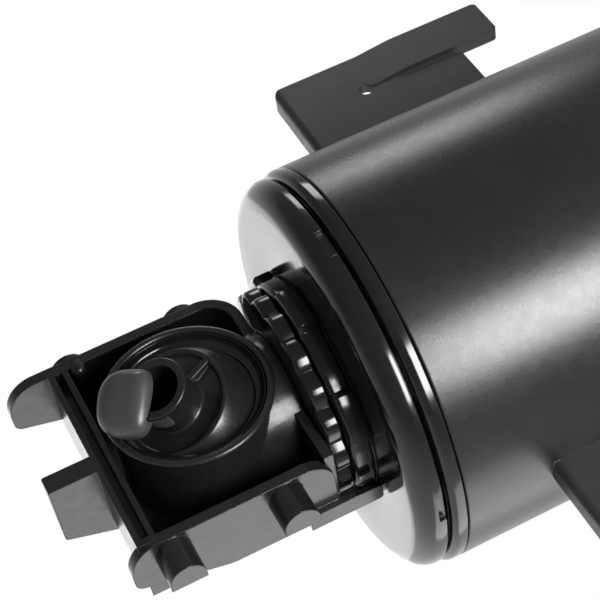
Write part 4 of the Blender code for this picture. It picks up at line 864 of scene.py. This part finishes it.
def nozzle_ball():
    """A ball cut flat in front, with a soft rim, a recessed face and the jet's rimmed tube on it."""
    face, recess, rim_width, mouth, throat = 0.0109, 0.0014, 0.0011, 0.0100, 0.0089
    rim = math.sqrt(BALL_RADIUS**2 - face**2)
    back = -math.sqrt(BALL_RADIUS**2 - mouth**2)
    bottom = face - recess
    skin = ball_arc(BALL_RADIUS, back, face, 40)
    body = revolve([
        (JET_BORE, JET_REACH, 0.0004), (JET_BORE, -JET_BORE, 0.0003), (throat, back, 0.0003), *skin[:-1],
        (*skin[-1], 0.0004), (rim - rim_width, face, 0.0004), (rim - rim_width - recess / 2, bottom, 0.0005),
        (JET_RADIUS, bottom, 0.0010), (JET_RADIUS, RIM_LOW, 0.0002), (RIM_RADIUS, RIM_LOW, 0.0003),
        (RIM_RADIUS, JET_REACH, 0.0005),
    ], FINE)
    root, rib_height, half = (JET_RADIUS + JET_BORE) / 2, 0.0026, 0.0008
    rib = prism((
        (-root, bottom - rim_width), (-root, bottom + rib_height), (rim_width - rim, face),
        (rim_width - rim, bottom - rim_width),
    ), -half, half, "X")
    return moved(join(body, spun(rib, NOZZLE_TURN / 2)), TO_NOZZLE)


def hood_outline(share, half_width, length, start):
    """One outline of the hood's shell, drawn in to a share of its full size about its middle."""
    blunt, mouth_blunt = 0.8, 0.45  # powers that square the round end and flatten the mouth
    behind, ahead = 0.42 * length, 0.58 * length
    outline = []
    for number in range(FINE):
        across, along = math.cos(math.tau * number / FINE), math.sin(math.tau * number / FINE)
        x = half_width * math.copysign(abs(across) ** blunt, across)
        reach, power = (ahead, blunt) if along > 0 else (behind, mouth_blunt)
        y = math.copysign(reach * abs(along) ** power, along)
        outline.append((share * x, start + behind + share * y))
    return outline


def hood_shell(half_width, length, start, low, height):
    """A flat-topped shell with a broad rounded rim, as a stack of outlines that draw in upwards."""
    shoulder = low + 0.0010
    levels = [(0.93, low), (0.98, (low + shoulder) / 2)]
    steps = 20
    for number in range(steps):
        lift = math.pi / 2 * number / steps
        levels.append((math.cos(lift) ** 0.625, shoulder + (height - 0.0010) * math.sin(lift) ** (1 / 1.1)))
    return lofted([(hood_outline(share, half_width, length, start), level) for share, level in levels])


def split_large_faces(obj):
    """Triangulates the faces that booleans leave with many corners, so that they divide cleanly."""
    bm = bmesh.new()
    bm.from_mesh(obj.data)
    bmesh.ops.triangulate(bm, faces=[face for face in bm.faces if len(face.verts) > 4])
    bm.to_mesh(obj.data)
    bm.free()
    return obj


def nozzle_hood():
    """An ear-shaped hood over half of the jet, on an open clip that turns under the jet's rim."""
    shell = hood_shell(half_width=0.0086, length=0.0151, start=0.0004, low=-0.0012, height=0.0060)
    seat_height, turn, aside, pitch, roll = 0.0193, -20, -0.0030, 3, -9
    lay = (
        Matrix.Translation((-0.0006, 0.0, seat_height))
        @ Matrix.Rotation(math.radians(turn), 4, "Z")
        @ Matrix.Translation((aside, 0.0, 0.0))
        @ Matrix.Rotation(math.radians(pitch), 4, "X")
        @ Matrix.Rotation(math.radians(roll), 4, "Y")
    )
    clip_wall, clip_length, clip_end, size = 0.0009, 0.0040, -0.0010, 0.0200
    high = RIM_LOW - GAP
    low = high - clip_length
    bore = JET_RADIUS + GAP
    away = box((-size, size), (-size, clip_end), (0.0, high + OVER))
    clip = cut(ring(bore, bore + clip_wall, low, high), away)
    room = rod(RIM_RADIUS + GAP, high, JET_REACH + GAP)
    hood = join(cut(moved(shell, lay), room, rod(bore, low, JET_REACH)), clip)
    return moved(split_large_faces(hood), TO_HOOD)


# ==== Pump =====================================================================================
def pump_casing():
    """The cup that comes up with the head: eye and bearing spider in its floor, sleeve for the core."""
    low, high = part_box("pump_casing")
    outer, wall, sleeve_length = high.x, 0.0020, 0.0080
    floor, eye, bore = low.z + sleeve_length, 0.0110, 0.0143
    shell = revolve((
        (eye, floor), (bore, floor), (bore, low.z), (bore + wall, low.z, 0.0004), (bore + wall, floor),
        (outer, floor, 0.0010), (outer, high.z), (outer - wall, high.z), (outer - wall, floor + wall),
        (eye, floor + wall),
    ), FINE)
    hub, deep, rise, half, well_radius, well_floor = 0.0054, 0.0020, 0.0010, 0.0011, 0.0036, 0.0010
    arms = []
    for turn in (0, 120, 240):
        arm = box((hub - OVER, eye + OVER), (-half, half), (floor + GAP, floor + wall - GAP))
        arms.append(spun(arm, turn))
    top = floor + wall + rise
    well = rod(well_radius, floor - deep + well_floor, top + OVER, SMALL)
    return cut(join(shell, rod(hub, floor - deep, top, SMALL), *arms), well)


# ==== The pieces on their bodies ===============================================================
piece("tube", tube(), SATIN, "black_abs", "canister", "canister_body")
piece("wing_right", wing(1), MATT, "black_abs", "canister")
piece("wing_left", wing(-1), MATT, "black_abs", "canister")
piece("collar", collar(), GLOSS, "black_abs", "canister", "canister_collar")
piece("strainer", strainer(), SATIN, "black_abs", "canister", "base_strainer")
for number in range(1, 5):
    foot_node = f"rubber_foot_{number}"
    piece(f"foot_{number}", rubber_foot(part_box(foot_node)), RUBBER, "rubber", "canister", foot_node)
piece("foam", foam(), FOAM, "foam", "canister", "foam_cartridge")
piece("cap", end_cap(), GLOSS, "black_abs", "pump_head", "end_cap")
piece("casing", pump_casing(), CAST, "black_abs", "pump_head", "pump_casing")
piece("gland", cable_gland(), RUBBER, "rubber", "pump_head", "cable_gland")
piece("nut", union_nut(), GLOSS, "black_abs", "nut", "union_nut")
piece("grip", grip_ring(), GLOSS, "black_abs", "outlet", "grip_ring")
piece("neck", neck_pipe(), GLOSS, "black_abs", "outlet", "neck_pipe")
piece("head", outlet_head(), CAST, "black_abs", "outlet", "outlet_head", sharp=28.0)
piece("retainer", ball_ring(), GLOSS, "black_abs", "ring", "ball_ring")
piece("ball", nozzle_ball(), CAST, "black_abs", "nozzle", "nozzle_ball")
piece("hood", nozzle_hood(), HOOD, "grey_abs", "hood", "nozzle_hood")


# ==== Stage ====================================================================================
def camera():
    """The camera at the photo's place and angle."""
    data = bpy.data.cameras.new("camera")
    data.lens = 108.0
    data.sensor_width = 36.0
    data.clip_end = 20.0
    cam = bpy.data.objects.new("camera", data)
    right = Vector((-0.4376, 0.1256, -0.8903))
    up = Vector((0.6368, -0.6558, -0.4055))
    back = Vector((-0.6348, -0.7444, 0.2070))
    turn = Matrix((right, up, back)).transposed().to_4x4()
    cam.matrix_world = Matrix.Translation((-0.2787, -0.3601, 0.3383)) @ turn
    bpy.context.scene.collection.objects.link(cam)
    bpy.context.scene.camera = cam


def area_light(name, place, target, size, power):
    """A soft lamp aimed at a point."""
    data = bpy.data.lights.new(name, "AREA")
    data.shape = "SQUARE"
    data.size = size
    data.energy = power
    light = bpy.data.objects.new(name, data)
    place, target = Vector(place), Vector(target)
    turn = (place - target).to_track_quat("Z", "Y")
    light.matrix_world = Matrix.Translation(place) @ turn.to_matrix().to_4x4()
    bpy.context.scene.collection.objects.link(light)


def sees_backdrop(tree):
    """1 for rays that show the backdrop as it is: those from the camera and through glass."""
    path = tree.nodes.new("ShaderNodeLightPath")
    either = tree.nodes.new("ShaderNodeMath")
    either.operation = "MAXIMUM"
    tree.links.new(path.outputs["Is Camera Ray"], either.inputs[0])
    tree.links.new(path.outputs["Is Transmission Ray"], either.inputs[1])
    return either.outputs["Value"]


def studio_world():
    """A studio that is bright behind the filter and dim in front of it. The backdrop shows white."""
    world = bpy.data.worlds.new("studio")
    bpy.context.scene.world = world
    world.use_nodes = True
    tree = world.node_tree
    direction = tree.nodes.new("ShaderNodeTexCoord").outputs["Generated"]
    along = tree.nodes.new("ShaderNodeVectorMath")
    along.operation = "DOT_PRODUCT"
    bright_way, dim, bright, dim_until, bright_from = (0.0, 0.99, 0.14), 0.20, 1.0, -0.10, 0.60
    along.inputs[1].default_value = bright_way
    tree.links.new(direction, along.inputs[0])
    room = spread(tree, along.outputs["Value"], dim, bright, dim_until, bright_from)
    strength = tree.nodes.new("ShaderNodeMath")
    strength.operation = "MAXIMUM"
    tree.links.new(room, strength.inputs[0])
    tree.links.new(sees_backdrop(tree), strength.inputs[1])
    tree.links.new(strength.outputs["Value"], tree.nodes["Background"].inputs["Strength"])
    tree.nodes["Background"].inputs["Color"].default_value = (1.0, 1.0, 1.0, 1.0)


def studio_floor():
    """A pale round floor that keeps the filter's shadow and fades into the backdrop."""
    bm = bmesh.new()
    floor_radius, fade_start, fade_end, brightness = 0.60, 0.20, 0.55, 0.45
    bmesh.ops.create_circle(bm, cap_ends=True, segments=MIDDLE, radius=floor_radius)
    floor = raised(solid_from(bm), cad_low.z - GAP)
    floor.name = "floor"
    material, tree, shader = new_material("pale_floor")
    shader.inputs["Base Color"].default_value = (0.85, 0.85, 0.85, 1.0)
    shader.inputs["Roughness"].default_value = 0.9
    place = tree.nodes.new("ShaderNodeTexCoord").outputs["Object"]
    reach = tree.nodes.new("ShaderNodeVectorMath")
    reach.operation = "LENGTH"
    tree.links.new(place, reach.inputs[0])
    fade = spread(tree, reach.outputs["Value"], 0.0, 1.0, fade_start, fade_end)
    glow = spread(tree, sees_backdrop(tree), 0.0, brightness, 0.0, 1.0)
    tree.links.new(glow, shader.inputs["Emission Strength"])
    shader.inputs["Emission Color"].default_value = (1.0, 1.0, 1.0, 1.0)
    clear = tree.nodes.new("ShaderNodeBsdfTransparent")
    mix = tree.nodes.new("ShaderNodeMixShader")
    tree.links.new(fade, mix.inputs["Fac"])
    tree.links.new(shader.outputs["BSDF"], mix.inputs[1])
    tree.links.new(clear.outputs["BSDF"], mix.inputs[2])
    tree.links.new(mix.outputs["Shader"], tree.nodes["Material Output"].inputs["Surface"])
    floor.data.materials.append(material)


camera()
studio_world()
studio_floor()
middle = (0.0, 0.0, 0.22)
# In turn: the canister's long highlight, the head's sides, the cap's shoulder, the canister's far edge
area_light("key", (-0.472, -0.362, 0.05), (0.0, 0.0, 0.20), 0.28, 5.6)
area_light("side", (-0.48, 0.55, 0.12), middle, 0.5, 1.6)
area_light("rear", (0.70, 0.80, 0.45), middle, 0.8, 1.6)
area_light("edge", (0.75, -0.30, 0.03), middle, 0.25, 1.0)

bpy.context.scene.view_settings.view_transform = "Standard"
